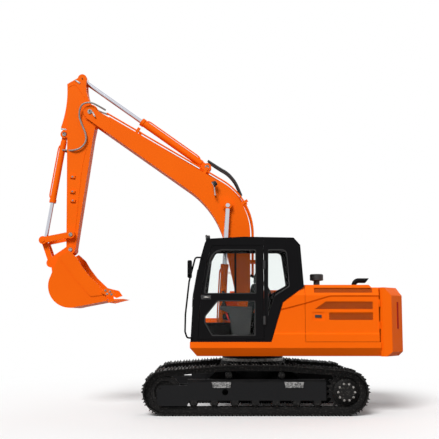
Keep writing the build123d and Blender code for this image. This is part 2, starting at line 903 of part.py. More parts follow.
def house_section(low):
    """The section of the house's side in Y and Z: an upright wall with a sloped shoulder."""
    return [
        (deck_half_width, low),
        (deck_half_width, shoulder_low),
        (shoulder_half_width, house_top),
        (door_edge, house_top),
        (door_edge, under_shoulder(door_edge)),
        (door_inner, under_shoulder(door_inner)),
        (door_inner, low),
    ]


with BuildPart() as house_frame:
    with BuildSketch(Plane.YZ.offset(wall_front)):
        Polygon(
            (-wall_half, deck_top),
            (-deck_channel, deck_top),
            (-deck_channel, tail_beam_height + running_gap),
            (deck_channel, tail_beam_height + running_gap),
            (deck_channel, deck_top),
            (wall_half, deck_top),
            (wall_half, under_shoulder(wall_half) - 2 * running_gap),
            (roof_half_width, lid_under),
            (-roof_half_width, lid_under),
            (-wall_half, under_shoulder(wall_half) - 2 * running_gap),
            align=None,
        )
    extrude(amount=-house_wall)
    with BuildSketch(side_plane(roof_half_width)):
        Polygon(
            (door_front + running_gap, house_top),
            (house_step, house_top),
            (step_end, weight_top),
            (step_end - house_wall, weight_top),
            (step_end - house_wall, low_lid_under),
            (house_step, lid_under),
            (door_front + running_gap, lid_under),
            align=None,
        )
    extrude(amount=2 * roof_half_width)
    with BuildSketch(Plane.XY.offset(low_lid_under)):
        Polygon(
            (weight_front, -low_roof_half_width),
            (step_end, -low_roof_half_width),
            (step_end, low_roof_half_width),
            (weight_front, low_roof_half_width),
            align=None,
        )
    extrude(amount=house_wall)
    with BuildSketch(Plane.XY.offset(house_top)):
        Polygon(
            (hood_front, hood_right),
            (hood_front, hood_left),
            (hood_rear, hood_left),
            (hood_rear, hood_right),
            align=None,
        )
    extrude(amount=-house_wall, mode=Mode.SUBTRACT)
    with BuildSketch(Plane.XY.offset(house_top)):
        with Locations(exhaust_at):
            Circle(exhaust_radius + seat_gap)
    extrude(amount=exhaust_foot - house_top, mode=Mode.SUBTRACT)
    for side in (1, -1):
        with BuildSketch(Plane.XY.offset(deck_top)):
            with Locations((weight_front + post_size / 2, side * (roof_half_width - post_size / 2))):
                Rectangle(post_size, post_size)
        extrude(amount=low_lid_under - deck_top)
        for z in hinge_heights:
            with BuildSketch(Plane.XY.offset(z)):
                with Locations((hinge_x, side * hinge_y)):
                    Circle(hinge_radius)
                with Locations((hinge_x, side * (hinge_y + roof_half_width) / 2)):
                    Rectangle(hinge_radius * 1.5, hinge_y - roof_half_width + seat_gap)
            extrude(amount=hinge_length)
    for y in (hood_left - hinge_length * 2, hood_right + hinge_length * 3):
        with BuildSketch(side_plane(y)):
            with Locations((hood_hinge_x, hood_hinge_z)):
                Circle(hinge_radius)
            Polygon(
                (hood_hinge_x, hood_hinge_z + hinge_radius / 2),
                (hood_hinge_x, house_top + seat_gap),
                (hood_front, house_top + seat_gap),
                (hood_front, house_top),
                (hood_front + 2 * house_wall, house_top),
                align=None,
            )
        extrude(amount=hinge_length)
finish_piece(house_frame, "house_frame")

with BuildPart() as hood:
    with BuildSketch(Plane.XY.offset(lid_under)):
        Polygon(
            (hood_front - running_gap, hood_right + running_gap),
            (hood_front - running_gap, hood_left - running_gap),
            (hood_rear + running_gap, hood_left - running_gap),
            (hood_rear + running_gap, hood_right + running_gap),
            align=None,
        )
    extrude(amount=house_wall)
    for y in (hood_left - hinge_length * 3 - seat_gap, hood_right + hinge_length * 4 + seat_gap):
        with BuildSketch(side_plane(y)):
            with Locations((hood_hinge_x, hood_hinge_z)):
                Circle(hinge_radius)
            Polygon(
                (hood_hinge_x, hood_hinge_z + hinge_radius / 2),
                (hood_front - 2 * house_wall, house_top),
                (hood_front - running_gap, house_top),
                (hood_front - running_gap, house_top + seat_gap),
                (hood_hinge_x, house_top + seat_gap),
                align=None,
            )
        extrude(amount=hinge_length)
finish_piece(hood, "hood")

# The sides below the shoulder are pressed in, along one line from the counterweight to the cab
with BuildPart() as pressed_side:
    with BuildSketch(side_plane(deck_half_width)):
        Polygon(
            *recess_line,
            (recess_line[-1][0], recess_low),
            (recess_line[0][0], recess_low),
            align=None,
        )
    extrude(amount=door_recess, taper=45)

with BuildPart() as left_service_door:
    with BuildSketch(Plane.YZ.offset(door_rear)):
        Polygon(*house_section(deck_top + running_gap), align=None)
    extrude(amount=door_front - door_rear)
    add(pressed_side.part, mode=Mode.SUBTRACT)
    with BuildSketch(side_plane(deck_half_width)):
        for band in (grille_upper, grille_middle, grille_lower):
            Polygon(
                *band,
                (grille_rear, band[1][1]),
                (grille_rear, band[0][1]),
                align=None,
            )
        Polygon(
            (house_step, house_top),
            (step_end, weight_top),
            (door_rear, weight_top),
            (door_rear, house_top),
            align=None,
        )
    extrude(amount=deck_half_width - door_edge, mode=Mode.SUBTRACT)
    with BuildSketch(side_plane(deck_half_width)):
        with Locations(latch_at):
            Rectangle(*latch_size)
    extrude(amount=door_recess + latch_depth, mode=Mode.SUBTRACT)
    for z in hinge_heights:
        with BuildSketch(Plane.XY.offset(z + hinge_length + seat_gap)):
            with Locations((hinge_x, hinge_y)):
                Circle(hinge_radius)
            with Locations((hinge_x, hinge_y)):
                Rectangle(door_rear - hinge_x, 2 * hinge_radius, align=(Align.MIN, Align.MAX))
        extrude(amount=hinge_length)
finish_piece(left_service_door, "left_service_door")

with BuildPart() as right_service_door:
    mirror(left_service_door.part, about=Plane.XZ)
finish_piece(right_service_door, "right_service_door")

with BuildPart() as left_side_panel:
    with BuildSketch(Plane.YZ.offset(door_front + running_gap)):
        Polygon(*house_section(deck_top), align=None)
    extrude(amount=cab_rear_foot[0] - door_front)
    with BuildSketch(side_plane(deck_half_width)):
        Polygon(
            (cab_rear_foot[0] - running_gap, deck_top),
            (cab_rear_knee[0] - running_gap, cab_rear_knee[1] - running_gap),
            (door_front + running_gap, cab_rear_waist[1] - running_gap),
            (door_front + running_gap, deck_top),
            align=None,
        )
    extrude(amount=deck_half_width - door_edge, mode=Mode.INTERSECT)
    add(pressed_side.part, mode=Mode.SUBTRACT)
finish_piece(left_side_panel, "left_side_panel")

with BuildPart() as engine_block:
    with BuildSketch(Plane.XY.offset(tail_beam_height)):
        with Locations((engine_x, 0)):
            RectangleRounded(engine_size[0], engine_size[1], engine_round)
    extrude(amount=engine_size[2])
finish_piece(engine_block, "engine_block")

with BuildPart() as hydraulic_tank:
    with BuildSketch(Plane.XY.offset(deck_top)):
        Polygon(
            (door_front + 2 * running_gap, -deck_half_width + tank_inset),
            (tank_split - tank_gap / 2, -deck_half_width + tank_inset),
            (tank_split - tank_gap / 2, -tank_inner),
            (door_front + 2 * running_gap, -tank_inner),
            align=None,
        )
    extrude(amount=hydraulic_tank_top - deck_top)
    offset(hydraulic_tank.part, amount=-tank_wall, kind=Kind.INTERSECTION, mode=Mode.SUBTRACT)
    fillet(hydraulic_tank.edges().filter_by(Plane.XY).group_by(Axis.Z)[-1], radius=tank_round)
finish_piece(hydraulic_tank, "hydraulic_tank")

with BuildPart() as fuel_tank:
    with BuildSketch(Plane.XY.offset(deck_top)):
        Polygon(
            (tank_split + tank_gap / 2, -deck_half_width + tank_inset),
            (fuel_tank_front, -deck_half_width + tank_inset),
            (fuel_tank_front, -tank_inner),
            (tank_split + tank_gap / 2, -tank_inner),
            align=None,
        )
    extrude(amount=fuel_tank_top - deck_top)
    offset(fuel_tank.part, amount=-tank_wall, kind=Kind.INTERSECTION, mode=Mode.SUBTRACT)
    fillet(fuel_tank.edges().filter_by(Plane.XY).group_by(Axis.Z)[-1], radius=tank_round)
    with Locations((fuel_tank_front - filler_setback, -(deck_half_width + tank_inner) / 2, fuel_tank_top)):
        Cylinder(filler_radius, filler_height, align=(Align.CENTER, Align.CENTER, Align.MIN))
finish_piece(fuel_tank, "fuel_tank")

tool_box_middle = -(deck_half_width - tank_inset + tool_box_inner) / 2
tool_box_breadth = deck_half_width - tank_inset - tool_box_inner
tool_box_rear = fuel_tank_front + tool_box_gap
tool_box_length = deck_front - tool_box_setback - tool_box_rear
with BuildPart() as tool_box:
    with BuildSketch(Plane.XY.offset(deck_top)):
        with Locations((tool_box_rear + tool_box_length / 2, tool_box_middle)):
            Rectangle(tool_box_length, tool_box_breadth)
            Rectangle(tool_box_length - 2 * tool_box_wall, tool_box_breadth - 2 * tool_box_wall, mode=Mode.SUBTRACT)
    extrude(amount=tool_box_top - deck_top)
    with BuildSketch(Plane.XY.offset(deck_top)):
        with Locations((tool_box_rear + tool_box_length / 2, tool_box_middle)):
            Rectangle(tool_box_length - tool_box_wall, tool_box_breadth - tool_box_wall)
    extrude(amount=tool_box_wall)
    for shift in (-1, 1):
        with BuildSketch(side_plane(tool_box_middle + shift * tool_box_breadth / 4)):
            with Locations((tool_box_rear + hinge_radius, tool_box_top + hinge_radius + seat_gap)):
                Circle(hinge_radius)
            with Locations((tool_box_rear + hinge_radius / 2, tool_box_top)):
                Rectangle(hinge_radius, 2 * hinge_radius)
        extrude(amount=hinge_length)
finish_piece(tool_box, "tool_box")

with BuildPart() as tool_box_lid:
    lid_z = tool_box_top + seat_gap
    with BuildSketch(Plane.XY.offset(lid_z)):
        with Locations((tool_box_rear + tool_box_length / 2 + hinge_radius + running_gap / 2, tool_box_middle)):
            Rectangle(tool_box_length - 2 * hinge_radius - running_gap, tool_box_breadth)
    extrude(amount=tool_box_lid_height)
    for shift in (-1, 1):
        with BuildSketch(side_plane(tool_box_middle + shift * tool_box_breadth / 4 + hinge_length + seat_gap)):
            with Locations((tool_box_rear + hinge_radius, tool_box_top + hinge_radius + seat_gap)):
                Circle(hinge_radius)
            with Locations((tool_box_rear + 2 * hinge_radius, tool_box_top + hinge_radius + seat_gap)):
                Rectangle(2 * hinge_radius + 2 * running_gap, hinge_radius)
        extrude(amount=hinge_length)
finish_piece(tool_box_lid, "tool_box_lid")

with BuildPart() as pre_cleaner:
    with BuildSketch(side_plane(pre_cleaner_at[1], (pre_cleaner_at[0], house_top))):
        with BuildLine():
            Polyline(
                (0, 0),
                (pre_cleaner_neck, 0),
                (pre_cleaner_neck, pre_cleaner_neck_height),
                (pre_cleaner_radius, pre_cleaner_neck_height + pre_cleaner_edge),
                (pre_cleaner_radius, pre_cleaner_height - pre_cleaner_edge),
                (pre_cleaner_radius - pre_cleaner_edge, pre_cleaner_height),
                (0, pre_cleaner_height),
                close=True,
            )
        make_face()
    revolve(axis=Axis((pre_cleaner_at[0], pre_cleaner_at[1], 0), (0, 0, 1)))
finish_piece(pre_cleaner, "pre_cleaner")

exhaust_end = exhaust_at[0] - exhaust_reach
with BuildPart() as exhaust_pipe:
    with BuildLine(side_plane(exhaust_at[1])):
        FilletPolyline(
            (exhaust_at[0], exhaust_foot),
            (exhaust_at[0], exhaust_height),
            (exhaust_end, exhaust_height),
            radius=exhaust_bend,
        )
    with BuildSketch(Plane(origin=(exhaust_at[0], exhaust_at[1], exhaust_foot))):
        Circle(exhaust_radius)
    sweep()
    with BuildSketch(side_plane(exhaust_at[1])):
        Polygon(
            (exhaust_end, exhaust_height + exhaust_radius),
            (exhaust_end + exhaust_slant, exhaust_height - exhaust_radius),
            (exhaust_end, exhaust_height - exhaust_radius),
            align=None,
        )
    extrude(amount=exhaust_radius, both=True, mode=Mode.SUBTRACT)
finish_piece(exhaust_pipe, "exhaust_pipe")

# Cab: the walls of one outline, split where its panels meet, with the windows cut
cab_outline = [
    cab_front_foot,
    cab_front_waist,
    cab_front_cheek,
    cab_front_brow,
    cab_front_eave,
    cab_rear_eave,
    cab_rear_brow,
    cab_rear_waist,
    cab_rear_knee,
    cab_rear_foot,
]
door_outline = [
    (cab_door_rear, cab_door_sill),
    (cab_front_foot[0] - cab_post, cab_door_sill),
    (cab_front_waist[0] - cab_post, cab_front_waist[1]),
    (cab_front_cheek[0] - cab_post, cab_front_cheek[1]),
    (cab_front_brow[0] - cab_post, cab_front_brow[1]),
    (cab_front_eave[0] - cab_post, cab_door_head),
    (cab_door_rear, cab_door_head),
]
window_shapes = {
    "rear": (
        ((-213.0, 2669.0), (-519.0, 2669.0), (-561.0, 2072.0), (-316.0, 1917.0), (-206.0, 1582.0)),
        (25.0, 85.0, 30.0, 60.0, 0.0),
    ),
    "right": (
        (
            (cab_front_waist[0] - cab_post - cab_wall, 1480.0),
            (cab_front_brow[0] - cab_post - cab_wall, cab_front_brow[1]),
            (cab_front_eave[0] - cab_post - cab_wall, 2669.0),
            (-480.0, 2669.0),
            (-560.0, 2110.0),
            (-180.0, 1900.0),
            (-60.0, 1480.0),
        ),
        (40.0, 0.0, 60.0, 80.0, 30.0, 60.0, 20.0),
    ),
    "door_upper": (
        ((-14.0, 1957.0), (833.0, 1957.0), (709.0, 2669.0), (-14.0, 2669.0)),
        (20.0, 25.0, 215.0, 25.0),
    ),
    "door_lower": (
        ((3.0, 1275.0), (697.0, 1275.0), (818.0, 1481.0), (818.0, 1588.0), (616.0, 1836.0), (3.0, 1836.0)),
        (25.0, 30.0, 60.0, 50.0, 30.0, 25.0),
    ),
}
windows = {}
for name, (corners, rounds) in window_shapes.items():
    with BuildSketch(Plane.XY) as window:
        with BuildLine():
            FilletPolyline(*corners, radius=list(rounds), close=True)
        make_face()
    windows[name] = window.sketch
cab_inner_left = cab_left - cab_wall
cab_inner_right = cab_right + cab_wall
cab_middle = (cab_left + cab_right) / 2

with BuildPart() as cab_left_side:
    with BuildSketch(side_plane(cab_left)):
        Polygon(*cab_outline, align=None)
        opening = Polygon(*door_outline, align=None, mode=Mode.PRIVATE)
        offset(opening, amount=running_gap, kind=Kind.INTERSECTION, mode=Mode.SUBTRACT)
        add(windows["rear"], mode=Mode.SUBTRACT)
    extrude(amount=cab_wall)
    for z in cab_hinge_heights:
        with BuildSketch(Plane.XY.offset(z)):
            with Locations((cab_hinge_x, cab_hinge_y)):
                Circle(cab_hinge_radius)
            with Locations((cab_hinge_x - cab_hinge_radius * 1.5, (cab_left + cab_hinge_y) / 2)):
                Rectangle(cab_hinge_radius * 3, cab_hinge_y - cab_left)
        extrude(amount=hinge_length)
finish_piece(cab_left_side, "cab_left_side")

with BuildPart() as cab_right_side:
    with BuildSketch(side_plane(cab_inner_right)):
        Polygon(*cab_outline, align=None)
        add(windows["right"], mode=Mode.SUBTRACT)
    extrude(amount=cab_wall)
finish_piece(cab_right_side, "cab_right_side")

cab_ring = [
    ("cab_front_frame", (cab_front_split, cab_front_foot[0])),
    ("cab_floor", (cab_rear_split, cab_front_split)),
    ("cab_rear_wall", (cab_rear_waist[0], cab_rear_split)),
]
for name, (ring_rear, ring_front) in cab_ring:
    with BuildPart() as ring_piece:
        with BuildSketch(side_plane(cab_inner_left)):
            whole = Polygon(*cab_outline, align=None)
            offset(whole, amount=-cab_wall, kind=Kind.INTERSECTION, mode=Mode.SUBTRACT)
            with Locations((ring_rear, cab_front_foot[1])):
                Rectangle(
                    ring_front - ring_rear,
                    cab_eave - cab_front_foot[1],
                    align=(Align.MIN, Align.MIN),
                    mode=Mode.INTERSECT,
                )
        extrude(amount=cab_inner_left - cab_inner_right)
        with BuildSketch(Plane.YZ):
            with Locations((cab_middle, (window_top + windscreen_sill) / 2)):
                Rectangle(windscreen_width, window_top - windscreen_sill)
            if name == "cab_front_frame":
                with Locations((cab_middle, (lower_glass_top + lower_glass_sill) / 2)):
                    Rectangle(windscreen_width, lower_glass_top - lower_glass_sill)
        extrude(amount=tumbler_distance, both=True, mode=Mode.SUBTRACT)
        if name == "cab_floor":
            split(bisect_by=Plane.XY.offset(cab_front_waist[1]), keep=Keep.BOTTOM)
    finish_piece(ring_piece, name)

with BuildPart() as cab_roof:
    with BuildSketch(side_plane(cab_left)):
        with BuildLine():
            FilletPolyline(
                cab_front_eave,
                cab_roof_front,
                cab_roof_crown,
                cab_roof_rear,
                cab_rear_eave,
                radius=[0, cab_roof_round, 0, cab_roof_round, 0],
                close=True,
            )
        make_face()
    extrude(amount=cab_left - cab_right)
    offset(cab_roof.part, amount=-roof_plate, kind=Kind.INTERSECTION, mode=Mode.SUBTRACT)
    with BuildSketch(side_plane(cab_inner_left)):
        with Locations((cab_rear_split, cab_eave)):
            Rectangle(cab_front_split - cab_rear_split, cab_wall, align=(Align.MIN, Align.MAX))
    extrude(amount=cab_inner_left - cab_inner_right)
finish_piece(cab_roof, "cab_roof")

pane_left = cab_left - cab_wall / 2 + glass_thickness / 2
pane_right = cab_right + cab_wall / 2 + glass_thickness / 2
with BuildPart() as cab_glass:
    for top, window in ((pane_left, "rear"), (pane_right, "right")):
        with BuildSketch(side_plane(top)):
            add(windows[window])
            offset(amount=-seat_gap)
        extrude(amount=glass_thickness)
    panes = (
        ((cab_front_split, cab_front_foot[0]), (windscreen_sill, window_top)),
        ((cab_front_split, cab_front_foot[0]), (lower_glass_sill, lower_glass_top)),
        ((cab_rear_waist[0], cab_rear_split), (windscreen_sill, window_top)),
    )
    for (pane_rear, pane_front), (sill, head) in panes:
        with BuildSketch(side_plane(cab_middle)):
            whole = Polygon(*cab_outline, align=None, mode=Mode.PRIVATE)
            offset(whole, amount=-(cab_wall - glass_thickness) / 2, kind=Kind.INTERSECTION)
            offset(whole, amount=-(cab_wall + glass_thickness) / 2, kind=Kind.INTERSECTION, mode=Mode.SUBTRACT)
            with Locations((pane_rear, sill + seat_gap)):
                Rectangle(
                    pane_front - pane_rear,
                    head - sill - 2 * seat_gap,
                    align=(Align.MIN, Align.MIN),
                    mode=Mode.INTERSECT,
                )
        extrude(amount=windscreen_width / 2 - seat_gap, both=True)
finish_piece(cab_glass, "cab_glass")

with BuildPart() as cab_door:
    with BuildSketch(side_plane(cab_left)):
        Polygon(*door_outline, align=None)
        add(windows["door_upper"], mode=Mode.SUBTRACT)
        add(windows["door_lower"], mode=Mode.SUBTRACT)
    extrude(amount=cab_wall)
    with BuildSketch(side_plane(cab_left)):
        add(windows["door_upper"])
        with Locations((mullion_at, (windscreen_sill + window_top) / 2)):
            Rectangle(mullion_width, 2 * (window_top - windscreen_sill), mode=Mode.INTERSECT)
    extrude(amount=mullion_depth)
    for z in cab_hinge_heights:
        with BuildSketch(Plane.XY.offset(z + hinge_length + seat_gap)):
            with Locations((cab_hinge_x, cab_hinge_y)):
                Circle(cab_hinge_radius)
            with Locations((cab_hinge_x + cab_hinge_radius * 1.5, (cab_left + cab_hinge_y) / 2)):
                Rectangle(cab_hinge_radius * 3, cab_hinge_y - cab_left)
        extrude(amount=hinge_length)
finish_piece(cab_door, "cab_door")

with BuildPart() as cab_door_glass:
    for window in ("door_upper", "door_lower"):
        with BuildSketch(side_plane(pane_left)):
            add(windows[window])
            offset(amount=-seat_gap)
        extrude(amount=glass_thickness)
finish_piece(cab_door_glass, "cab_door_glass")

# A hand rail in front of the cab's left post carries the mirror
with BuildPart() as mirror_rail:
    with BuildLine(side_plane(rail_y)):
        FilletPolyline(*rail_route, radius=rail_bend)
    with BuildSketch(Plane(origin=(rail_route[0][0], rail_y, rail_route[0][1]), z_dir=(1, 0, 0))):
        Circle(rail_radius)
    sweep()
    with BuildSketch(side_plane(rail_y)):
        with Locations(rail_route[0], rail_route[-1]):
            Circle(rail_radius)
    extrude(amount=rail_y - cab_left)
    with BuildSketch(side_plane(rail_y + mirror_reach)):
        with Locations(mirror_at):
            RectangleRounded(*mirror_size, mirror_round)
    extrude(amount=mirror_reach)
finish_piece(mirror_rail, "mirror_rail")

cab_floor_top = cab_front_foot[1] + cab_wall
with BuildPart() as operator_seat:
    with BuildSketch(side_plane(cab_middle)):
        with BuildLine():
            FilletPolyline(
                (seat_x - 40, cab_floor_top),
                (seat_x + 330, cab_floor_top),
                (seat_x + 330, seat_height - 130),
                (seat_x + 460, seat_height - 130),
                (seat_x + 480, seat_height),
                (seat_x + 80, seat_height - 30),
                (seat_x - 40, seat_height + 700),
                (seat_x - 150, seat_height + 690),
                (seat_x - 40, seat_height - 130),
                radius=[0, 0, 0, 40, 50, 60, 50, 50, 0],
                close=True,
            )
        make_face()
    extrude(amount=seat_width / 2, both=True)
finish_piece(operator_seat, "operator_seat")

with BuildPart() as control_consoles:
    for side in (1, -1):
        middle = cab_middle + side * (seat_width / 2 + console_width / 2 + running_gap)
        with BuildSketch(side_plane(middle)):
            with BuildLine():
                FilletPolyline(
                    (seat_x + 40, cab_floor_top),
                    (seat_x + 300, cab_floor_top),
                    (seat_x + 360, console_height - 120),
                    (seat_x + 520, console_height - 60),
                    (seat_x + 510, console_height),
                    (seat_x - 20, console_height - 20),
                    radius=[0, 0, 60, 20, 20, 30],
                    close=True,
                )
            make_face()
        extrude(amount=console_width / 2, both=True)
        with BuildSketch(Plane.XY.offset(console_height - 30)):
            with Locations((seat_x + 450, middle)):
                Circle(lever_radius)
        extrude(amount=lever_height)
finish_piece(control_consoles, "control_consoles")


# Boom: a closed box of welded plates, forked at the tip
boom_nose = (boom_length - boom_nose_set, boom_nose_rise)
boom_throat = (boom_length - boom_nose_set, -boom_nose_drop)
boom_heel = (boom_heel_set, -boom_heel_drop)
boom_back = (-boom_heel_set, boom_back_rise)
boom_outline = [boom_back, boom_back_bend, boom_nose, boom_throat, boom_belly_bend, boom_heel]
boom_radii = [0, boom_back_round, 0, 0, boom_belly_round, 0]
fork_root = boom_length - fork_depth
with BuildPart() as boom:
    with BuildSketch(side_plane(0, boom_foot, boom_angle)):
        with BuildLine():
            FilletPolyline(*boom_outline, radius=boom_radii, close=True)
        make_face()
        Circle(boom_foot_radius)
        with Locations((boom_length, 0)):
            Circle(boom_nose_radius)
    extrude(amount=boom_width / 2, both=True)
    with BuildSketch(side_plane(0, boom_foot, boom_angle)):
        with BuildLine():
            FilletPolyline(*boom_outline, radius=boom_radii, close=True)
        boom_side = make_face(mode=Mode.PRIVATE)
        offset(boom_side, amount=-boom_wall, kind=Kind.INTERSECTION)
        with Locations((boom_foot_radius + boom_wall, 0)):
            Rectangle(
                fork_root - boom_foot_radius - 3 * boom_wall,
                boom_length,
                align=(Align.MIN, Align.CENTER),
                mode=Mode.INTERSECT,
            )
    extrude(amount=boom_width / 2 - boom_wall, both=True, mode=Mode.SUBTRACT)
    with BuildSketch(side_plane(0, boom_foot, boom_angle)):
        with Locations((fork_root, 0)):
            Rectangle(boom_length, boom_length, align=(Align.MIN, Align.CENTER))
    extrude(amount=fork_gap / 2, both=True, mode=Mode.SUBTRACT)
    with BuildSketch(side_plane(0, boom_foot, boom_angle)):
        with Locations(boom_cylinder_eye):
            Circle(boom_boss_radius)
    boss_reach = boom_cylinder_half_spread - boom_rod_radius - running_gap
    extrude(amount=boss_reach, both=True)
    for top in (arm_eye_width / 2 + running_gap + lug_plate, -arm_eye_width / 2 - running_gap):
        with BuildSketch(side_plane(top, boom_foot, boom_angle)):
            with Locations(arm_cylinder_foot):
                Circle(arm_lug_radius)
            Polygon(
                (arm_cylinder_foot[0] - arm_lug_radius, arm_cylinder_foot[1]),
                (arm_cylinder_foot[0] + 0.9 * arm_lug_radius, arm_cylinder_foot[1]),
                (arm_cylinder_foot[0] + 0.8 * arm_lug_radius, arm_cylinder_foot[1] - arm_lug_base),
                (arm_cylinder_foot[0] - 2.8 * arm_lug_radius, arm_cylinder_foot[1] - arm_lug_base),
                align=None,
            )
        extrude(amount=lug_plate)
    with BuildSketch(side_plane(0, boom_foot, boom_angle)):
        Circle(boom_foot_pin_radius + pin_clearance)
        with Locations((boom_length, 0)):
            Circle(arm_pin_radius + pin_clearance)
        with Locations(arm_cylinder_foot):
            Circle(cylinder_pin_radius + pin_clearance)
    extrude(amount=deck_half_width, both=True, mode=Mode.SUBTRACT)
finish_piece(boom, "boom")

with BuildPart() as boom_pins:
    with BuildSketch(side_plane(0, boom_foot, boom_angle)):
        with Locations((boom_length, 0)):
            Circle(arm_pin_radius)
    extrude(amount=boom_width / 2 + pin_head, both=True)
    with BuildSketch(side_plane(0, boom_foot, boom_angle)):
        with Locations(arm_cylinder_foot):
            Circle(cylinder_pin_radius)
    extrude(amount=arm_eye_width / 2 + running_gap + lug_plate + pin_head, both=True)
finish_piece(boom_pins, "boom_pins")


def raised_bend(start, bend, end, height):
    """A bent line's three points, moved out from it by a height."""
    first = (Vector(*bend) - Vector(*start)).normalized()
    second = (Vector(*end) - Vector(*bend)).normalized()
    out_first = Vector(-first.Y, first.X)
    out_second = Vector(-second.Y, second.X)
    corner = Vector(*bend) + (out_first + out_second) * (height / (1 + out_first.dot(out_second)))
    points = (Vector(*start) + out_first * height, corner, Vector(*end) + out_second * height)
    return [(point.X, point.Y) for point in points]


pipe_start = tuple(a + (b - a) * pipe_from for a, b in zip(boom_back, boom_back_bend))
pipe_end = tuple(a + (b - a) * pipe_to for a, b in zip(boom_back_bend, boom_nose))
pipe_line = raised_bend(pipe_start, boom_back_bend, pipe_end, pipe_height)
back_slope = span(boom_back, boom_back_bend)[1]
with BuildSketch(Plane.XY) as boom_shape:
    with BuildLine():
        FilletPolyline(*boom_outline, radius=boom_radii, close=True)
    make_face()
with BuildPart() as boom_pipes:
    for side in (-1, 1):
        y = side * pipe_spread / 2
        with BuildLine(side_plane(y, boom_foot, boom_angle)) as pipe_run:
            FilletPolyline(*pipe_line, radius=boom_back_round + pipe_height)
        start_plane = side_plane(y, placed(boom_foot, boom_angle, *pipe_line[0]), boom_angle + back_slope)
        with BuildSketch(Plane(origin=start_plane.origin, z_dir=start_plane.x_dir)):
            Circle(pipe_radius)
        sweep()
        clamp_top = y + side * pipe_clamp_shift + pipe_clamp_width / 2
        with BuildSketch(side_plane(clamp_top, boom_foot, boom_angle)):
            for place in pipe_clamp_places:
                clamp_at = pipe_run.wire().position_at(place)
                heading = pipe_run.wire().tangent_at(place)
                local = side_plane(y, boom_foot, boom_angle).to_local_coords(clamp_at)
                turn = side_plane(y, boom_foot, boom_angle).to_local_coords(clamp_at + heading) - local
                with Locations(Location((local.X, local.Y, 0), degrees(atan2(turn.Y, turn.X)))):
                    Rectangle(pipe_clamp, 2 * (pipe_height + pipe_radius))
            add(boom_shape.sketch, mode=Mode.SUBTRACT)
        extrude(amount=pipe_clamp_width)
finish_piece(boom_pipes, "boom_pipes")


def make_cylinder(name, sides, foot, angle, neck, barrel_length, barrel_radius, rod_radius, eye_width):
    """The barrels of a hydraulic cylinder, each with its foot eye, its bore and its gland."""
    with BuildPart() as barrel:
        for y in sides:
            plane = side_plane(y, foot, angle)
            with BuildSketch(plane):
                Circle(barrel_radius * 1.1)
                Rectangle(neck + gland_length / 2, barrel_radius * 1.4, align=(Align.MIN, Align.CENTER))
            extrude(amount=eye_width / 2, both=True)
            with BuildSketch(plane):
                with BuildLine():
                    Polyline(
                        (neck, 0),
                        (neck, barrel_radius * 0.7),
                        (neck + gland_length / 2, barrel_radius),
                        (barrel_length - gland_length, barrel_radius),
                        (barrel_length - gland_length, barrel_radius * 1.14),
                        (barrel_length, barrel_radius * 1.14),
                        (barrel_length, 0),
                        close=True,
                    )
                make_face()
            revolve(axis=Axis(plane.origin, plane.x_dir))
            with BuildSketch(plane):
                with Locations((neck + gland_length, 0)):
                    Rectangle(barrel_length, rod_radius + pin_clearance, align=(Align.MIN, Align.MIN))
            revolve(axis=Axis(plane.origin, plane.x_dir), mode=Mode.SUBTRACT)
            with BuildSketch(plane):
                Circle(cylinder_pin_radius + pin_clearance)
            extrude(amount=eye_width, both=True, mode=Mode.SUBTRACT)
    finish_piece(barrel, name)


def make_rod(name, sides, eye, angle, rod_length, rod_radius, eye_radius, eye_width, pin_reach):
    """The rods of a hydraulic cylinder, each with the eye at its end and the pin in it."""
    with BuildPart() as rod:
        for y in sides:
            plane = side_plane(y, eye, angle)
            with BuildSketch(plane):
                Circle(eye_radius)
            extrude(amount=eye_width / 2, both=True)
            with BuildSketch(plane):
                Circle(cylinder_pin_radius)
            extrude(amount=pin_reach, both=True)
            with BuildSketch(plane):
                with Locations((-rod_length, 0)):
                    Rectangle(rod_length - eye_radius * 0.8, rod_radius, align=(Align.MIN, Align.MIN))
            revolve(axis=Axis(plane.origin, plane.x_dir))
    finish_piece(rod, name)


boom_sides = (boom_cylinder_half_spread, -boom_cylinder_half_spread)
make_cylinder(
    "boom_barrels",
    boom_sides,
    boom_cylinder_foot,
    boom_cylinder_angle,
    lug_radius + 4 * running_gap,
    boom_barrel_length,
    boom_barrel_radius,
    boom_rod_radius,
    boom_eye_width,
)
make_rod(
    "boom_rods",
    boom_sides,
    boom_eye,
    boom_cylinder_angle,
    boom_rod_length,
    boom_rod_radius,
    boom_eye_radius,
    boom_eye_width,
    boom_rod_radius,
)
make_cylinder(
    "arm_barrel",
    (0,),
    arm_foot,
    arm_cylinder_angle,
    arm_lug_radius + 4 * running_gap,
    arm_barrel_length,
    arm_barrel_radius,
    arm_rod_radius,
    arm_eye_width,
)
make_rod(
    "arm_rod",
    (0,),
    arm_eye,
    arm_cylinder_angle,
    arm_rod_length,
    arm_rod_radius,
    arm_rod_eye_radius,
    arm_eye_width,
    arm_eye_width / 2,
)
make_cylinder(
    "bucket_barrel",
    (0,),
    bucket_foot,
    bucket_cylinder_angle,
    bucket_lug_radius + 4 * running_gap,
    bucket_barrel_length,
    bucket_barrel_radius,
    bucket_rod_radius,
    bucket_eye_width,
)
make_rod(
    "bucket_rod",
    (0,),
    rocker_end,
    bucket_cylinder_angle,
    bucket_rod_length,
    bucket_rod_radius,
    bucket_rod_eye_radius,
    bucket_eye_width,
    bucket_eye_width / 2,
)

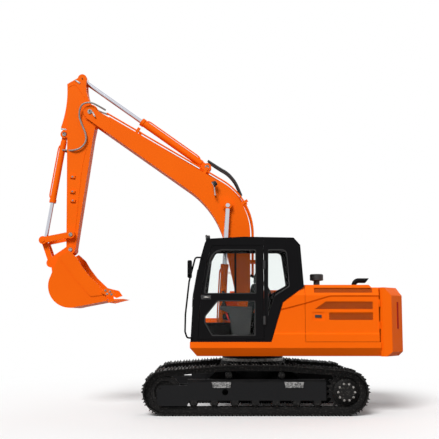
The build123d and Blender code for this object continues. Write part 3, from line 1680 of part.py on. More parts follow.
# Arm: a tapered box, with a slotted tail for the arm cylinder and lugs for the bucket cylinder
arm_plane = side_plane(0, boom_tip, arm_angle)
with BuildSketch(Plane.XY) as arm_side:
    with BuildLine():
        Polyline(
            (arm_tail_pin[0], arm_tail_pin[1] - arm_tail_radius),
            (arm_tail_pin[0], arm_tail_pin[1] + arm_tail_radius),
            (-arm_shoulder[0], arm_shoulder[1]),
            (arm_length, arm_nose_radius),
            (arm_length, -arm_nose_radius),
            (arm_heel[0], -arm_heel[1]),
            (0, -arm_pivot_radius),
        )
        ThreePointArc(
            (0, -arm_pivot_radius),
            (-arm_neck[0], arm_neck[1]),
            (arm_tail_pin[0], arm_tail_pin[1] - arm_tail_radius),
        )
    make_face()
with BuildPart() as arm:
    with BuildSketch(arm_plane):
        add(arm_side.sketch)
        Circle(arm_pivot_radius)
        with Locations(arm_tail_pin):
            Circle(arm_tail_radius)
        with Locations((arm_length, 0)):
            Circle(arm_nose_radius)
    extrude(amount=arm_width / 2, both=True)
    with BuildSketch(arm_plane):
        add(arm_side.sketch)
        offset(amount=-arm_wall, kind=Kind.INTERSECTION)
        with Locations((arm_pivot_radius, 0)):
            Rectangle(
                rocker_pin[0] - 2 * arm_pivot_radius,
                arm_length,
                align=(Align.MIN, Align.CENTER),
                mode=Mode.INTERSECT,
            )
    extrude(amount=arm_width / 2 - arm_wall, both=True, mode=Mode.SUBTRACT)
    with BuildSketch(arm_plane):
        Circle(arm_pivot_radius * 0.8)
    extrude(amount=arm_boss_half, both=True)
    with BuildSketch(arm_plane):
        with Locations(rocker_pin):
            Circle(rocker_boss_radius)
    extrude(amount=rocker_inner - running_gap, both=True)
    with BuildSketch(arm_plane):
        with Locations((arm_tail_pin[0] + tail_slot_depth, 0)):
            Rectangle(arm_length, 2 * arm_length, align=(Align.MAX, Align.CENTER))
    extrude(amount=tail_slot / 2, both=True, mode=Mode.SUBTRACT)
    for top in (bucket_eye_width / 2 + running_gap + lug_plate, -bucket_eye_width / 2 - running_gap):
        with BuildSketch(side_plane(top, boom_tip, arm_angle)):
            with BuildLine():
                ThreePointArc(bracket_back, bracket_waist, bracket_front)
                Polyline(
                    bracket_front,
                    bucket_cylinder_foot,
                    (bucket_cylinder_foot[0] + 0.6 * bucket_lug_radius, bucket_cylinder_foot[1] - bucket_lug_base),
                    (bracket_back[0] + bucket_lug_base, bracket_back[1] - bucket_lug_base),
                    bracket_back,
                )
            make_face()
            with Locations(bucket_cylinder_foot):
                Circle(bucket_lug_radius)
        extrude(amount=lug_plate)
    with BuildSketch(arm_plane):
        Circle(arm_pin_radius + pin_clearance)
        with Locations((arm_length, 0), rocker_pin):
            Circle(bucket_pin_radius + pin_clearance)
        with Locations(bucket_cylinder_foot):
            Circle(cylinder_pin_radius + pin_clearance)
    extrude(amount=deck_half_width, both=True, mode=Mode.SUBTRACT)
finish_piece(arm, "arm")

with BuildPart() as arm_pins:
    with BuildSketch(arm_plane):
        with Locations((arm_length, 0)):
            Circle(bucket_pin_radius)
    extrude(amount=bucket_ear_inner + bucket_ear_plate + pin_head, both=True)
    with BuildSketch(arm_plane):
        with Locations(rocker_pin):
            Circle(bucket_pin_radius)
    extrude(amount=rocker_inner + rocker_plate + pin_head, both=True)
    with BuildSketch(arm_plane):
        with Locations(bucket_cylinder_foot):
            Circle(cylinder_pin_radius)
    extrude(amount=bucket_eye_width / 2 + running_gap + lug_plate + pin_head, both=True)
finish_piece(arm_pins, "arm_pins")

with BuildPart() as rocker:
    for top in (rocker_inner + rocker_plate, -rocker_inner):
        with BuildSketch(side_plane(top, rocker_pivot, rocker_angle)):
            with Locations((0, 0), (rocker_length, 0)):
                Circle(rocker_boss_radius)
            with Locations((rocker_length / 2, 0)):
                Rectangle(rocker_length, rocker_boss_radius * 1.5)
        extrude(amount=rocker_plate)
    with BuildSketch(side_plane(0, rocker_pivot, rocker_angle)):
        Circle(bucket_pin_radius + pin_clearance)
    extrude(amount=boom_width, both=True, mode=Mode.SUBTRACT)
    for top in (rocker_inner + rocker_plate + pin_head, -link_inner):
        with BuildSketch(side_plane(top, rocker_end, rocker_angle)):
            Circle(bucket_pin_radius)
        extrude(amount=rocker_inner + rocker_plate + pin_head - link_inner)
finish_piece(rocker, "rocker")

with BuildPart() as bucket_link:
    for top in (link_inner + link_plate, -link_inner):
        with BuildSketch(side_plane(top, rocker_end, link_angle)):
            with Locations((0, 0), (link_length, 0)):
                Circle(link_boss_radius)
            with Locations((link_length / 2, 0)):
                Rectangle(link_length, link_boss_radius * 1.4)
        extrude(amount=link_plate)
    with BuildSketch(side_plane(0, rocker_end, link_angle)):
        with Locations((link_length * link_web_place, 0)):
            Rectangle(link_web, link_boss_radius)
    extrude(amount=link_inner, both=True)
    with BuildSketch(side_plane(0, rocker_end, link_angle)):
        Circle(bucket_pin_radius + pin_clearance)
    extrude(amount=boom_width, both=True, mode=Mode.SUBTRACT)
finish_piece(bucket_link, "bucket_link")

# Bucket: a rolled sheet between two side plates, hung on two ears
bucket_plane = side_plane(0, bucket_pivot, bucket_angle)
with BuildSketch(Plane.XY) as bucket_side:
    with BuildLine():
        Polyline(bucket_sole, bucket_lip, *bucket_mouth, bucket_brow, bucket_crown, bucket_heel)
        ThreePointArc(bucket_heel, bucket_belly, bucket_sole)
    make_face()
with BuildSketch(Plane.XY) as bucket_sheet:
    with BuildLine():
        Polyline(bucket_sole, bucket_lip, *bucket_mouth[:-1], bucket_rim, bucket_crown, bucket_heel)
        ThreePointArc(bucket_heel, bucket_belly, bucket_sole)
    make_face()
with BuildSketch(Plane.XY) as bucket_inside:
    offset(bucket_sheet.sketch, amount=-bucket_shell, kind=Kind.INTERSECTION)
    Polygon(
        (bucket_rim[0] + bucket_shell, bucket_rim[1] + bucket_shell),
        (bucket_rim[0] + bucket_shell, 0),
        (bucket_lip[0], 0),
        (bucket_lip[0] - 2 * bucket_shell, bucket_lip[1] + bucket_shell),
        align=None,
    )
with BuildPart() as bucket:
    with BuildSketch(bucket_plane):
        add(bucket_sheet.sketch)
    extrude(amount=bucket_width / 2, both=True)
    with BuildSketch(bucket_plane):
        add(bucket_inside.sketch)
    extrude(amount=bucket_width / 2 - bucket_shell, both=True, mode=Mode.SUBTRACT)
    for top in (bucket_width / 2, -bucket_width / 2 + bucket_shell):
        with BuildSketch(side_plane(top, bucket_pivot, bucket_angle)):
            add(bucket_side.sketch)
        extrude(amount=bucket_shell)
    for top in (bucket_width / 2 + bucket_doubler, -bucket_width / 2):
        with BuildSketch(side_plane(top, bucket_pivot, bucket_angle)):
            Polygon(bucket_crown, bucket_brow, *reversed(bucket_mouth), *bucket_seam, align=None)
        extrude(amount=bucket_doubler)
    cutter_inner = bucket_width / 2 + bucket_doubler
    for top in (cutter_inner + side_cutter_plate, -cutter_inner):
        with BuildSketch(side_plane(top, bucket_pivot, bucket_angle)):
            Polygon(*side_cutter, align=None)
        extrude(amount=side_cutter_plate)
    for top in (bucket_ear_inner + bucket_ear_plate, -bucket_ear_inner):
        with BuildSketch(side_plane(top, bucket_pivot, bucket_angle)) as ear:
            Circle(bucket_ear_radius)
            with Locations(bucket_link_pin):
                Circle(bucket_ear_radius)
            make_hull(ear.sketch_local.edges())
            Polygon((0, 0), bucket_rim, bucket_belly, bucket_heel, bucket_link_pin, align=None)
            add(bucket_sheet.sketch, mode=Mode.SUBTRACT)
        extrude(amount=bucket_ear_plate)
    with BuildSketch(bucket_plane):
        Circle(bucket_pin_radius + pin_clearance)
    extrude(amount=boom_width, both=True, mode=Mode.SUBTRACT)
finish_piece(bucket, "bucket")

tooth_spacing = (bucket_width - tooth_width) / (tooth_count - 1)
with BuildPart() as bucket_teeth:
    for tooth in range(tooth_count):
        y = -bucket_width / 2 + tooth_width / 2 + tooth * tooth_spacing
        with BuildSketch(side_plane(y, bucket_pivot, bucket_angle)):
            Polygon(
                (bucket_lip[0], bucket_lip[1] - tooth_rise),
                (tooth_radius, 0),
                (bucket_lip[0] + tooth_root, bucket_lip[1] + tooth_rise / 2),
                (bucket_lip[0], bucket_lip[1]),
                align=None,
            )
        extrude(amount=tooth_width / 2, both=True)
finish_piece(bucket_teeth, "bucket_teeth")
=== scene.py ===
# %% [markdown]
# # A crawler excavator, dressed for its portrait
# The machine's solids arrive already at their real size and place, each on the body that carries it. This
# lesson gives them their finishes and adds what is too fine for the solids: perforated grilles, seals,
# bolts, hoses and wear. Everything is in metres, with +X forward, +Y to the cab's side and +Z up.

import json
from math import cos, pi, radians, sin, tan

import bmesh
import bpy
from mathutils import Matrix, Vector


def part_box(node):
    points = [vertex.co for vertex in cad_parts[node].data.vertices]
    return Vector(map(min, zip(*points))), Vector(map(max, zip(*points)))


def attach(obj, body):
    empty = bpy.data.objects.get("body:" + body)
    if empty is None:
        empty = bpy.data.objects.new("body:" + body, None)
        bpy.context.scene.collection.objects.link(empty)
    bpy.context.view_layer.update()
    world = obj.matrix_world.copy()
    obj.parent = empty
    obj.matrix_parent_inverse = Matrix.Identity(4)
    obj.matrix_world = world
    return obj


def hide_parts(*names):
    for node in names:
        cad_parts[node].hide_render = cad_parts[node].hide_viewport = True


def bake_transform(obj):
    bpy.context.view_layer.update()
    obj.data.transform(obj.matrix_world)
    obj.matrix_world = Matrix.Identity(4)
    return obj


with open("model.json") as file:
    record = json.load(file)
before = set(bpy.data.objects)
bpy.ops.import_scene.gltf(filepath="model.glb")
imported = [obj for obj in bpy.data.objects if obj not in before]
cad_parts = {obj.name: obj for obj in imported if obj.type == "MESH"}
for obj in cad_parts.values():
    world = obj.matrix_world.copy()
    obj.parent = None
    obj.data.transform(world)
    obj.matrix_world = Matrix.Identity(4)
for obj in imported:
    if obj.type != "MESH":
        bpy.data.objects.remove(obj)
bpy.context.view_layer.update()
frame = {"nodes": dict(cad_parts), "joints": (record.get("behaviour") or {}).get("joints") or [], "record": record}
NODES = frame["nodes"]
JOINTS = {joint["name"]: joint for joint in frame["joints"]}
SQUARE = ((-1, -1), (1, -1), (1, 1), (-1, 1))  # the corners of a square, in order
show = bpy.context.scene.collection.objects.link

# %% [markdown]
# ## Colours and nodes
# A colour picked on a screen is sRGB, but a shader works in linear light, so one function turns hex values
# to linear. Two more fill a node's inputs and add a node with its settings and links, which keeps each
# material to a few readable lines.

# %% Helpers for materials
def linear(hex_colour):
    """The linear colour, with alpha, of an sRGB hex value."""
    parts = [int(hex_colour[i:i + 2], 16) / 255 for i in (1, 3, 5)]
    return tuple(p / 12.92 if p <= 0.04045 else ((p + 0.055) / 1.055) ** 2.4 for p in parts) + (1.0,)


def fill_inputs(tree, node, inputs):
    """Fill a node's inputs, each with a value or with a link from a socket or from a node's first output."""
    for name, value in inputs.items():
        if isinstance(value, bpy.types.Node):
            value = next(socket for socket in value.outputs if socket.enabled)
        if isinstance(value, bpy.types.NodeSocket):
            tree.links.new(value, node.inputs[name])
        else:
            node.inputs[name].default_value = value


def add_node(tree, kind, inputs=None, **settings):
    """Add a node, set its properties, then fill or link the inputs that are named."""
    node = tree.nodes.new(kind)
    for name, value in settings.items():
        setattr(node, name, value)
    fill_inputs(tree, node, inputs or {})
    return node


def start_material(name):
    """A new material with its shader, its object coordinates in metres and its tree."""
    material = bpy.data.materials.new(name)
    material.use_nodes = True
    tree = material.node_tree
    shader = tree.nodes["Principled BSDF"]
    place = add_node(tree, "ShaderNodeTexCoord").outputs["Object"]
    return material, tree, shader, place


def per_metre(size_mm):
    """The scale of a pattern whose features are that many millimetres wide."""
    return 1000.0 / size_mm


# %% [markdown]
# ## Enamel
# The body is sprayed with a two-pack enamel: a hard, bright film with a faint orange-peel skin. A slow
# noise shifts the colour a little from panel to panel, a fine one gives the skin its grain, and faces that
# look up take a paler copy of the paint in patches: thin dust, and a painted highlight of the lit tops. The
# same recipe serves the orange, the black and the grey, because only the colours and the gloss differ.

# %% Sprayed enamels
DRIFT_MM = 900.0  # the colour shifts slowly, from panel to panel
DUST_AND_HIGHLIGHT_MM = 160.0
PEEL_MM = 9.0  # coarser than real orange peel, so that it shows
PEEL_DEPTH = 0.00025


def sprayed_enamel(name, colour, shade, dust_and_highlight, roughness, dust_and_highlight_amount, gloss=0.3):
    """Sprayed two-pack enamel: slow colour drift, orange-peel skin, and a paler copy of the paint where a face
    looks up, dust and painted highlight.
    """
    material, tree, shader, place = start_material(name)
    drift = add_node(tree, "ShaderNodeTexNoise", {
        "Vector": place, "Scale": per_metre(DRIFT_MM), "Detail": 3.0})
    paint = add_node(tree, "ShaderNodeMix", {
        "Factor": drift, 6: linear(colour), 7: linear(shade)}, data_type="RGBA")
    normal = add_node(tree, "ShaderNodeNewGeometry").outputs["Normal"]
    up = add_node(tree, "ShaderNodeSeparateXYZ", {"Vector": normal}).outputs["Z"]
    patches = add_node(tree, "ShaderNodeTexNoise", {
        "Vector": place, "Scale": per_metre(DUST_AND_HIGHLIGHT_MM), "Detail": 6.0})
    # faces that look up take a paler copy of the paint in patches: thin dust and a painted highlight of lit tops
    flat_top = add_node(tree, "ShaderNodeMapRange", {"Value": up, "From Min": 0.55, "From Max": 1.0})
    spotty = add_node(tree, "ShaderNodeMapRange", {"Value": patches, "From Min": 0.35, "From Max": 0.75})
    dusty_and_lit = add_node(tree, "ShaderNodeMath", {0: flat_top, 1: spotty}, operation="MULTIPLY")
    share = add_node(tree, "ShaderNodeMath", {0: dusty_and_lit, 1: dust_and_highlight_amount}, operation="MULTIPLY")
    dusted_and_lit = add_node(tree, "ShaderNodeMix", {"Factor": share, 6: paint, 7: linear(dust_and_highlight)}, data_type="RGBA")
    worn = add_node(tree, "ShaderNodeMapRange", {
        "Value": patches, "From Min": 0.3, "From Max": 0.7,
        "To Min": roughness - 0.05, "To Max": roughness + 0.08})
    peel = add_node(tree, "ShaderNodeTexNoise", {"Vector": place, "Scale": per_metre(PEEL_MM), "Detail": 2.0})
    skin = add_node(tree, "ShaderNodeBump", {"Height": peel, "Strength": 0.35, "Distance": PEEL_DEPTH})
    fill_inputs(tree, shader, {
        "Base Color": dusted_and_lit, "Roughness": worn, "Normal": skin, "Specular IOR Level": gloss,
        "Coat Weight": gloss / 4, "Coat Roughness": 0.2})
    return material


# the fourth colour of each is a paler copy of its paint: dust and a painted highlight on faces that look up
orange_enamel = sprayed_enamel("orange_enamel", "#F96A06", "#F06004", "#E08A48", 0.48, 0.12, 0.05)
black_enamel = sprayed_enamel("black_enamel", "#0A0A0B", "#0E0D0F", "#2C2B2A", 0.36, 0.12, 0.05)
frame_enamel = sprayed_enamel("dark_grey_enamel", "#1B1B1C", "#151516", "#343230", 0.5, 0.4, 0.08)

# %% [markdown]
# ## Bare metals
# Track steel is rolled and then scraped by soil, so it is nearly black in its pits and bright where it
# rubs. The cylinder rods are hard chrome, ground and polished round the rod. Pins and wear plates are plain
# turned steel.

# %% Metals
BLOTCH_MM = 24.0
DENT_MM = 18.0
DENT_DEPTH = 0.0012


def scraped_steel(name, dark, bright, roughness, cover):
    """Dark rolled steel scraped bright in patches, with shallow dents."""
    material, tree, shader, place = start_material(name)
    blotch = add_node(tree, "ShaderNodeTexNoise", {
        "Vector": place, "Scale": per_metre(BLOTCH_MM), "Detail": 8.0})
    scrape = add_node(tree, "ShaderNodeMapRange", {
        "Value": blotch, "From Min": cover, "From Max": cover + 0.14})
    metal = add_node(tree, "ShaderNodeMix", {
        "Factor": scrape, 6: linear(dark), 7: linear(bright)}, data_type="RGBA")
    polish = add_node(tree, "ShaderNodeMapRange", {
        "Value": scrape, "To Min": roughness, "To Max": roughness - 0.2})
    dents = add_node(tree, "ShaderNodeTexNoise", {
        "Vector": place, "Scale": per_metre(DENT_MM), "Detail": 4.0})
    relief = add_node(tree, "ShaderNodeBump", {"Height": dents, "Strength": 0.5, "Distance": DENT_DEPTH})
    fill_inputs(tree, shader, {
        "Base Color": metal, "Roughness": polish, "Normal": relief, "Metallic": 0.45,
        "Specular IOR Level": 0.2})
    return material


track_steel = scraped_steel("scraped_track_steel", "#151414", "#3B3936", 0.6, 0.54)
pin_steel = scraped_steel("turned_pin_steel", "#6E6A66", "#A8A5A2", 0.45, 0.45)

chrome_rod, tree, shader, place = start_material("ground_hard_chrome")
grind = add_node(tree, "ShaderNodeTexNoise", {"Vector": place, "Scale": per_metre(4), "Detail": 2.0})
ground = add_node(tree, "ShaderNodeMapRange", {
    "Value": grind, "From Min": 0.3, "From Max": 0.7, "To Min": 0.12, "To Max": 0.2})
fill_inputs(tree, shader, {"Base Color": linear("#C9CAD2"), "Roughness": ground, "Metallic": 1.0})

# %% [markdown]
# ## Glass, rubber, plastic and cloth
# The panes are tinted safety glass, thin enough that a see-through shader with a slight tint does the work.
# Hoses are matt rubber, trim is grained plastic and the seat is woven cloth.

# %% Glazing and soft finishes
GLASS_IOR = 1.15  # under glass's own, so that it mirrors the white studio less
cab_glazing, tree, shader, place = start_material("tinted_safety_glass")
smear = add_node(tree, "ShaderNodeTexNoise", {"Vector": place, "Scale": per_metre(220), "Detail": 3.0})
smeared = add_node(tree, "ShaderNodeMapRange", {
    "Value": smear, "From Min": 0.4, "From Max": 0.8, "To Min": 0.01, "To Max": 0.06})
fill_inputs(tree, shader, {
    "Base Color": linear("#F7FAF9"), "Roughness": smeared, "IOR": GLASS_IOR, "Transmission Weight": 1.0})


def patterned(name, texture, colours, values, bump=None):
    """Two colours mixed by a pattern, with plain shader values and a bump given as (mm, strength)."""
    material, tree, shader, place = start_material(name)
    kind, output, settings = texture
    pattern = add_node(tree, kind, {"Vector": place, **settings}).outputs[output]
    mix = add_node(tree, "ShaderNodeMix", {
        "Factor": pattern, 6: linear(colours[0]), 7: linear(colours[1])}, data_type="RGBA")
    fill_inputs(tree, shader, {"Base Color": mix, **values})
    if bump:
        depth_mm, strength = bump
        relief = add_node(tree, "ShaderNodeBump", {
            "Height": pattern, "Strength": strength, "Distance": depth_mm / 1000})
        fill_inputs(tree, shader, {"Normal": relief})
    return material


def matt_finish(name, colour, shade, roughness, grain_mm, depth_mm):
    """A matt moulded or woven finish: two close colours and a fine grain."""
    grain = ("ShaderNodeTexNoise", "Fac", {"Scale": per_metre(grain_mm), "Detail": 5.0})
    return patterned(name, grain, (colour, shade), {"Roughness": roughness}, (depth_mm, 0.6))


black_plastic = matt_finish("grained_black_plastic", "#161617", "#0C0C0D", 0.55, 3.0, 0.3)
hose_rubber = matt_finish("braided_hose_rubber", "#151515", "#0B0B0B", 0.6, 2.0, 0.3)
seat_cloth = matt_finish("woven_seat_cloth", "#26302F", "#161C1C", 0.9, 5.0, 1.0)
engine_metal = scraped_steel("cast_engine_metal", "#3A3B3C", "#6A6B6C", 0.6, 0.55)

# %% Give every solid its finish
FINISHES = {
    "orange_paint": orange_enamel,
    "cast_weight": orange_enamel,
    "black_paint": black_enamel,
    "dark_grey_paint": frame_enamel,
    "track_steel": track_steel,
    "worn_steel": pin_steel,
    "chrome_rod": chrome_rod,
    "cab_glazing": cab_glazing,
    "seat_cloth": seat_cloth,
    "black_plastic": black_plastic,
    "hose_rubber": hose_rubber,
    "engine_casting": engine_metal,
}
for subpart in frame["record"]["subparts"]:
    mesh = NODES[subpart["node"]].data
    mesh.materials.clear()
    mesh.materials.append(FINISHES[subpart["material_slot"]])

# %% [markdown]
# ## Places that the details hang on
# The joints of the machine are the best landmarks: the boom runs from its lift joint to the arm's joint,
# and the arm from there to the bucket's. A point on either is given along its line and above it, as a
# fitter would measure it.

# %% Landmarks
def joint_at(name):
    """The place of a joint, in metres."""
    return Vector(JOINTS[name]["pos_m"])


def hand(side):
    """The word for a side: 1 is left and -1 is right."""
    return "left" if side > 0 else "right"


class Member:
    """The boom or the arm: its first joint, its direction and the direction above it."""

    def __init__(self, start, end):
        self.start = joint_at(start)
        self.along = (joint_at(end) - self.start).normalized()
        self.above = Vector((-self.along.z, 0, self.along.x))

    def at(self, along, above, y=0.0):
        return self.start + self.along * along + self.above * above + Vector((0, y, 0))


boom = Member("boom_lift", "arm_fold")
arm = Member("arm_fold", "bucket_curl")
BOOM_SIDE = (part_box("boom")[1].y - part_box("boom")[0].y) / 2
ARM_SIDE = 0.145
LEFT = Vector((0, 1, 0))
print("boom tip", [round(v, 3) for v in joint_at("arm_fold")])

# %% [markdown]
# ## A few ways to make a piece
# Most fittings are turned, cut from plate or bent from tube. A turned piece is a profile of radius and
# height walked round an axis, a plate is an outline with a thickness, and a tube is a smooth curve with a
# round section. Each helper adds to one mesh, so that all the fittings of one body and one finish become
# one piece.

# %% Helpers for fittings
def turned(shape, profile, at, axis, steps=20):
    """Add a turned form: (radius, height) pairs walked round an axis that starts at a place."""
    turn = Vector(axis).to_track_quat("Z", "Y").to_matrix()
    rings = []
    for radius, height in profile:
        ring = []
        for step in range(steps):
            angle = 2 * pi * step / steps
            local = Vector((radius * cos(angle), radius * sin(angle), height))
            ring.append(shape.verts.new(Vector(at) + turn @ local))
        rings.append(ring)
    for low, high in zip(rings, rings[1:]):
        for step in range(steps):
            after = (step + 1) % steps
            shape.faces.new((low[step], low[after], high[after], high[step]))
    shape.faces.new(list(reversed(rings[0])))
    shape.faces.new(rings[-1])


def plate(shape, outline, push):
    """Add a plate: an outline of places and the vector of its thickness."""
    first = [shape.verts.new(Vector(place)) for place in outline]
    second = [shape.verts.new(Vector(place) + Vector(push)) for place in outline]
    count = len(outline)
    shape.faces.new(list(reversed(first)))
    shape.faces.new(second)
    for corner in range(count):
        after = (corner + 1) % count
        shape.faces.new((first[corner], first[after], second[after], second[corner]))


def finish_piece(shape, name, material, body, bevel_mm=0.0):
    """Turn a mesh under construction into a piece that rides on a body."""
    bmesh.ops.recalc_face_normals(shape, faces=shape.faces)
    mesh = bpy.data.meshes.new(name)
    shape.to_mesh(mesh)
    shape.free()
    mesh.materials.append(material)
    piece = bpy.data.objects.new(name, mesh)
    show(piece)
    if bevel_mm:
        bevel = piece.modifiers.new("edges", "BEVEL")
        bevel.width = bevel_mm / 1000
        bevel.segments = 2
        bevel.limit_method = "ANGLE"
    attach(piece, body)
    print(name, "faces:", len(mesh.polygons))
    return piece


def bent_tube(name, route, radius, material):
    """A smooth tube that follows a route of control points."""
    curve = bpy.data.curves.new(name, "CURVE")
    curve.dimensions = "3D"
    spline = curve.splines.new("NURBS")
    spline.points.add(len(route) - 1)
    for point, place in zip(spline.points, route):
        point.co = (*place, 1.0)
    spline.order_u = 3
    spline.use_endpoint_u = True
    spline.resolution_u = 8
    curve.bevel_depth = radius
    curve.bevel_resolution = 3
    curve.use_fill_caps = True
    holder = bpy.data.objects.new(name + "_route", curve)
    show(holder)
    bpy.context.view_layer.update()
    mesh = bpy.data.meshes.new_from_object(holder.evaluated_get(bpy.context.evaluated_depsgraph_get()))
    bpy.data.objects.remove(holder)
    mesh.name = name
    mesh.materials.clear()
    mesh.materials.append(material)
    piece = bpy.data.objects.new(name, mesh)
    show(piece)
    return piece


# %% [markdown]
# ## Bolts
# A hexagon bolt with its washer appears some hundreds of times, so one Geometry Nodes tree makes it once
# and sets it on every point of a cloud. Each point carries the direction that its bolt faces, as an
# attribute.

# %% Bolt tree
def start_tree(name, sizes):
    """A geometry tree with a geometry input and output and named number inputs."""
    tree = bpy.data.node_groups.new(name, "GeometryNodeTree")
    tree.interface.new_socket("Geometry", in_out="INPUT", socket_type="NodeSocketGeometry")
    for size, value in sizes.items():
        socket = tree.interface.new_socket(size, in_out="INPUT", socket_type="NodeSocketFloat")
        socket.default_value = value
    tree.interface.new_socket("Geometry", in_out="OUTPUT", socket_type="NodeSocketGeometry")
    return tree, add_node(tree, "NodeGroupInput").outputs


def end_tree(tree, geometry, material):
    """Make the instances real, give them their finish and send them out."""
    real = add_node(tree, "GeometryNodeRealizeInstances", {"Geometry": geometry})
    painted = add_node(tree, "GeometryNodeSetMaterial", {"Geometry": real, "Material": material})
    add_node(tree, "NodeGroupOutput", {"Geometry": painted})
    return tree


WASHER_SHARE = 1.35  # of the head's radius
WASHER = 0.003
HEAD_LIFT = 0.004


def bolt_tree(material):
    """Sets a hexagon head on a washer at every point, facing along the point's own direction."""
    tree, given = start_tree("hexagon_bolts", {"Head Radius": 0.012, "Head Height": 0.01})
    head = add_node(tree, "GeometryNodeMeshCylinder",
                    {"Vertices": 6, "Radius": given["Head Radius"], "Depth": given["Head Height"]})
    reach = add_node(tree, "ShaderNodeMath", {0: given["Head Radius"], 1: WASHER_SHARE}, operation="MULTIPLY")
    washer = add_node(tree, "GeometryNodeMeshCylinder", {"Vertices": 12, "Radius": reach, "Depth": WASHER})
    both = add_node(tree, "GeometryNodeJoinGeometry", {"Geometry": washer})
    lift = add_node(tree, "GeometryNodeTransform", {"Geometry": head, "Translation": (0, 0, HEAD_LIFT)})
    fill_inputs(tree, both, {"Geometry": lift})
    facing = add_node(tree, "GeometryNodeInputNamedAttribute", {"Name": "facing"}, data_type="FLOAT_VECTOR")
    turn = add_node(tree, "FunctionNodeAlignRotationToVector", {"Vector": facing}, axis="Z")
    bolts = add_node(tree, "GeometryNodeInstanceOnPoints", {
        "Points": given["Geometry"], "Instance": both, "Rotation": turn})
    return end_tree(tree, bolts, material)


def grown(name, mesh, tree, sizes, body):
    """Run a tree on a mesh with the sizes given by name, keep the result as a plain mesh and let it ride."""
    piece = bpy.data.objects.new(name, mesh)
    show(piece)
    modifier = piece.modifiers.new("grow", "NODES")
    modifier.node_group = tree
    for item in tree.interface.items_tree:
        if item.name in sizes and item.in_out == "INPUT":
            modifier[item.identifier] = sizes[item.name]
    bpy.context.view_layer.update()
    made = bpy.data.meshes.new_from_object(piece.evaluated_get(bpy.context.evaluated_depsgraph_get()))
    piece.modifiers.remove(modifier)
    piece.data = made
    made.name = name
    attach(piece, body)
    print(name, "faces:", len(made.polygons))
    return piece


hexagon_bolts = bolt_tree(pin_steel)


def bolt_set(name, bolts, head_radius, body, tree=hexagon_bolts):
    """Bolts at (place, direction) pairs, with heads of one size."""
    mesh = bpy.data.meshes.new(name + "_points")
    mesh.from_pydata([place for place, direction in bolts], [], [])
    facing = mesh.attributes.new("facing", "FLOAT_VECTOR", "POINT")
    for item, (place, direction) in zip(facing.data, bolts):
        item.vector = direction
    return grown(name, mesh, tree, {"Head Radius": head_radius, "Head Height": head_radius * 0.8}, body)


def bolt_circle(at, axis, radius, count, turn=0.0):
    """(place, direction) pairs of a circle of bolts."""
    frame_turn = Vector(axis).to_track_quat("Z", "Y").to_matrix()
    pairs = []
    for index in range(count):
        angle = 2 * pi * index / count + turn
        spoke = Vector((radius * cos(angle), radius * sin(angle), 0))
        pairs.append((Vector(at) + frame_turn @ spoke, Vector(axis)))
    return pairs


# %% [markdown]
# ## Track shoes
# Each shoe is held to its two links by four bolts, between the bars. The belt of pins is the tight outline
# round four circles, the two tumblers and the two carrier rollers, so the bolts are set out by walking
# along that outline.

# %% Bolts of the shoes
TUMBLER_HALF = 1.465
TUMBLER = (0.373, 0.291)  # height and pitch radius
CARRIER_HALF = 0.43
CARRIER = (0.640, 0.106)  # height, and radius to the pins
SHOE_OUT = 0.056  # from the pins out to the shoe's outer face
SHOE_COUNT = 45
TRACK_Y = 0.995
BOLT_ALONG = 0.026  # from the middle of the shoe
BOLT_ACROSS = 0.065  # from the middle of the track
OUTLINE_STEPS = 1440
SHOE_BOLT = 0.011  # radius of the head
WHEEL_BOLT = 0.014


def belt(step_count):
    """Points and outward directions along the tight outline round tumblers and carrier rollers."""
    circles = [(TUMBLER_HALF, *TUMBLER), (-TUMBLER_HALF, *TUMBLER)]
    circles[1:1] = [(CARRIER_HALF, *CARRIER), (-CARRIER_HALF, *CARRIER)]
    outline = []
    fine = OUTLINE_STEPS
    for index in range(fine):
        angle = 2 * pi * index / fine
        out = Vector((cos(angle), sin(angle)))
        x, z, radius = max(circles, key=lambda c: c[0] * out.x + c[1] * out.y + c[2])
        outline.append((Vector((x, z)) + out * radius, out))
    lengths = [(b[0] - a[0]).length for a, b in zip(outline, outline[1:] + outline[:1])]
    total = sum(lengths)
    start = min(range(fine), key=lambda i: (outline[i][0] - Vector((0, TUMBLER[0] - TUMBLER[1]))).length)
    places = []
    for step in range(step_count):
        reach = total * (step + 0.5) / step_count
        index = start
        while reach > lengths[index % fine]:
            reach -= lengths[index % fine]
            index += 1
        a, b = outline[index % fine], outline[(index + 1) % fine]
        way = (b[0] - a[0]).normalized()
        places.append((a[0] + way * reach, way))
    return places


shoe_bolts = []
for side in (1, -1):
    for centre, way in belt(SHOE_COUNT):
        out = Vector((way.y, -way.x))
        for along in (-BOLT_ALONG, BOLT_ALONG):
            for across in (-BOLT_ACROSS, BOLT_ACROSS):
                flat = centre + way * along + out * SHOE_OUT
                place = Vector((flat.x, side * TRACK_Y + across, flat.y))
                shoe_bolts.append((place, Vector((out.x, 0, out.y))))
bolt_set("track_shoe_bolts", shoe_bolts, SHOE_BOLT, "undercarriage")

wheel_bolts = []
WHEELS = (("sprockets", 0.135, 10), ("idlers", 0.052, 6))  # node, bolt circle's radius and bolts
for node, radius, count in WHEELS:
    low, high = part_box(node)
    middle = Vector(((low.x + high.x) / 2, 0, (low.z + high.z) / 2))
    for side, face in ((1, high.y), (-1, low.y)):
        wheel_bolts += bolt_circle((middle.x, face, middle.z), (0, side, 0), radius, count)
bolt_set("drive_and_idler_bolts", wheel_bolts, WHEEL_BOLT, "undercarriage")

# %% [markdown]
# ## Perforated grilles
# The service doors breathe through sheets with staggered round holes. A staggered pattern is a square one
# turned by 45 degrees, so a diamond with a hole in it tiles the sheet. The tree lays two grids of points,
# the second shifted by half a step each way, and sets a diamond on each. The sheet's edges end inside the
# door's own thickness.

# %% Grille tree
HOLE_PITCH = 0.038  # from hole to hole along a row, drawn a little coarse so that it shows
HOLE_SHARE = 0.68  # of the diamond's half diagonal
SHEET = 0.002
HOLE_SIDES = 8


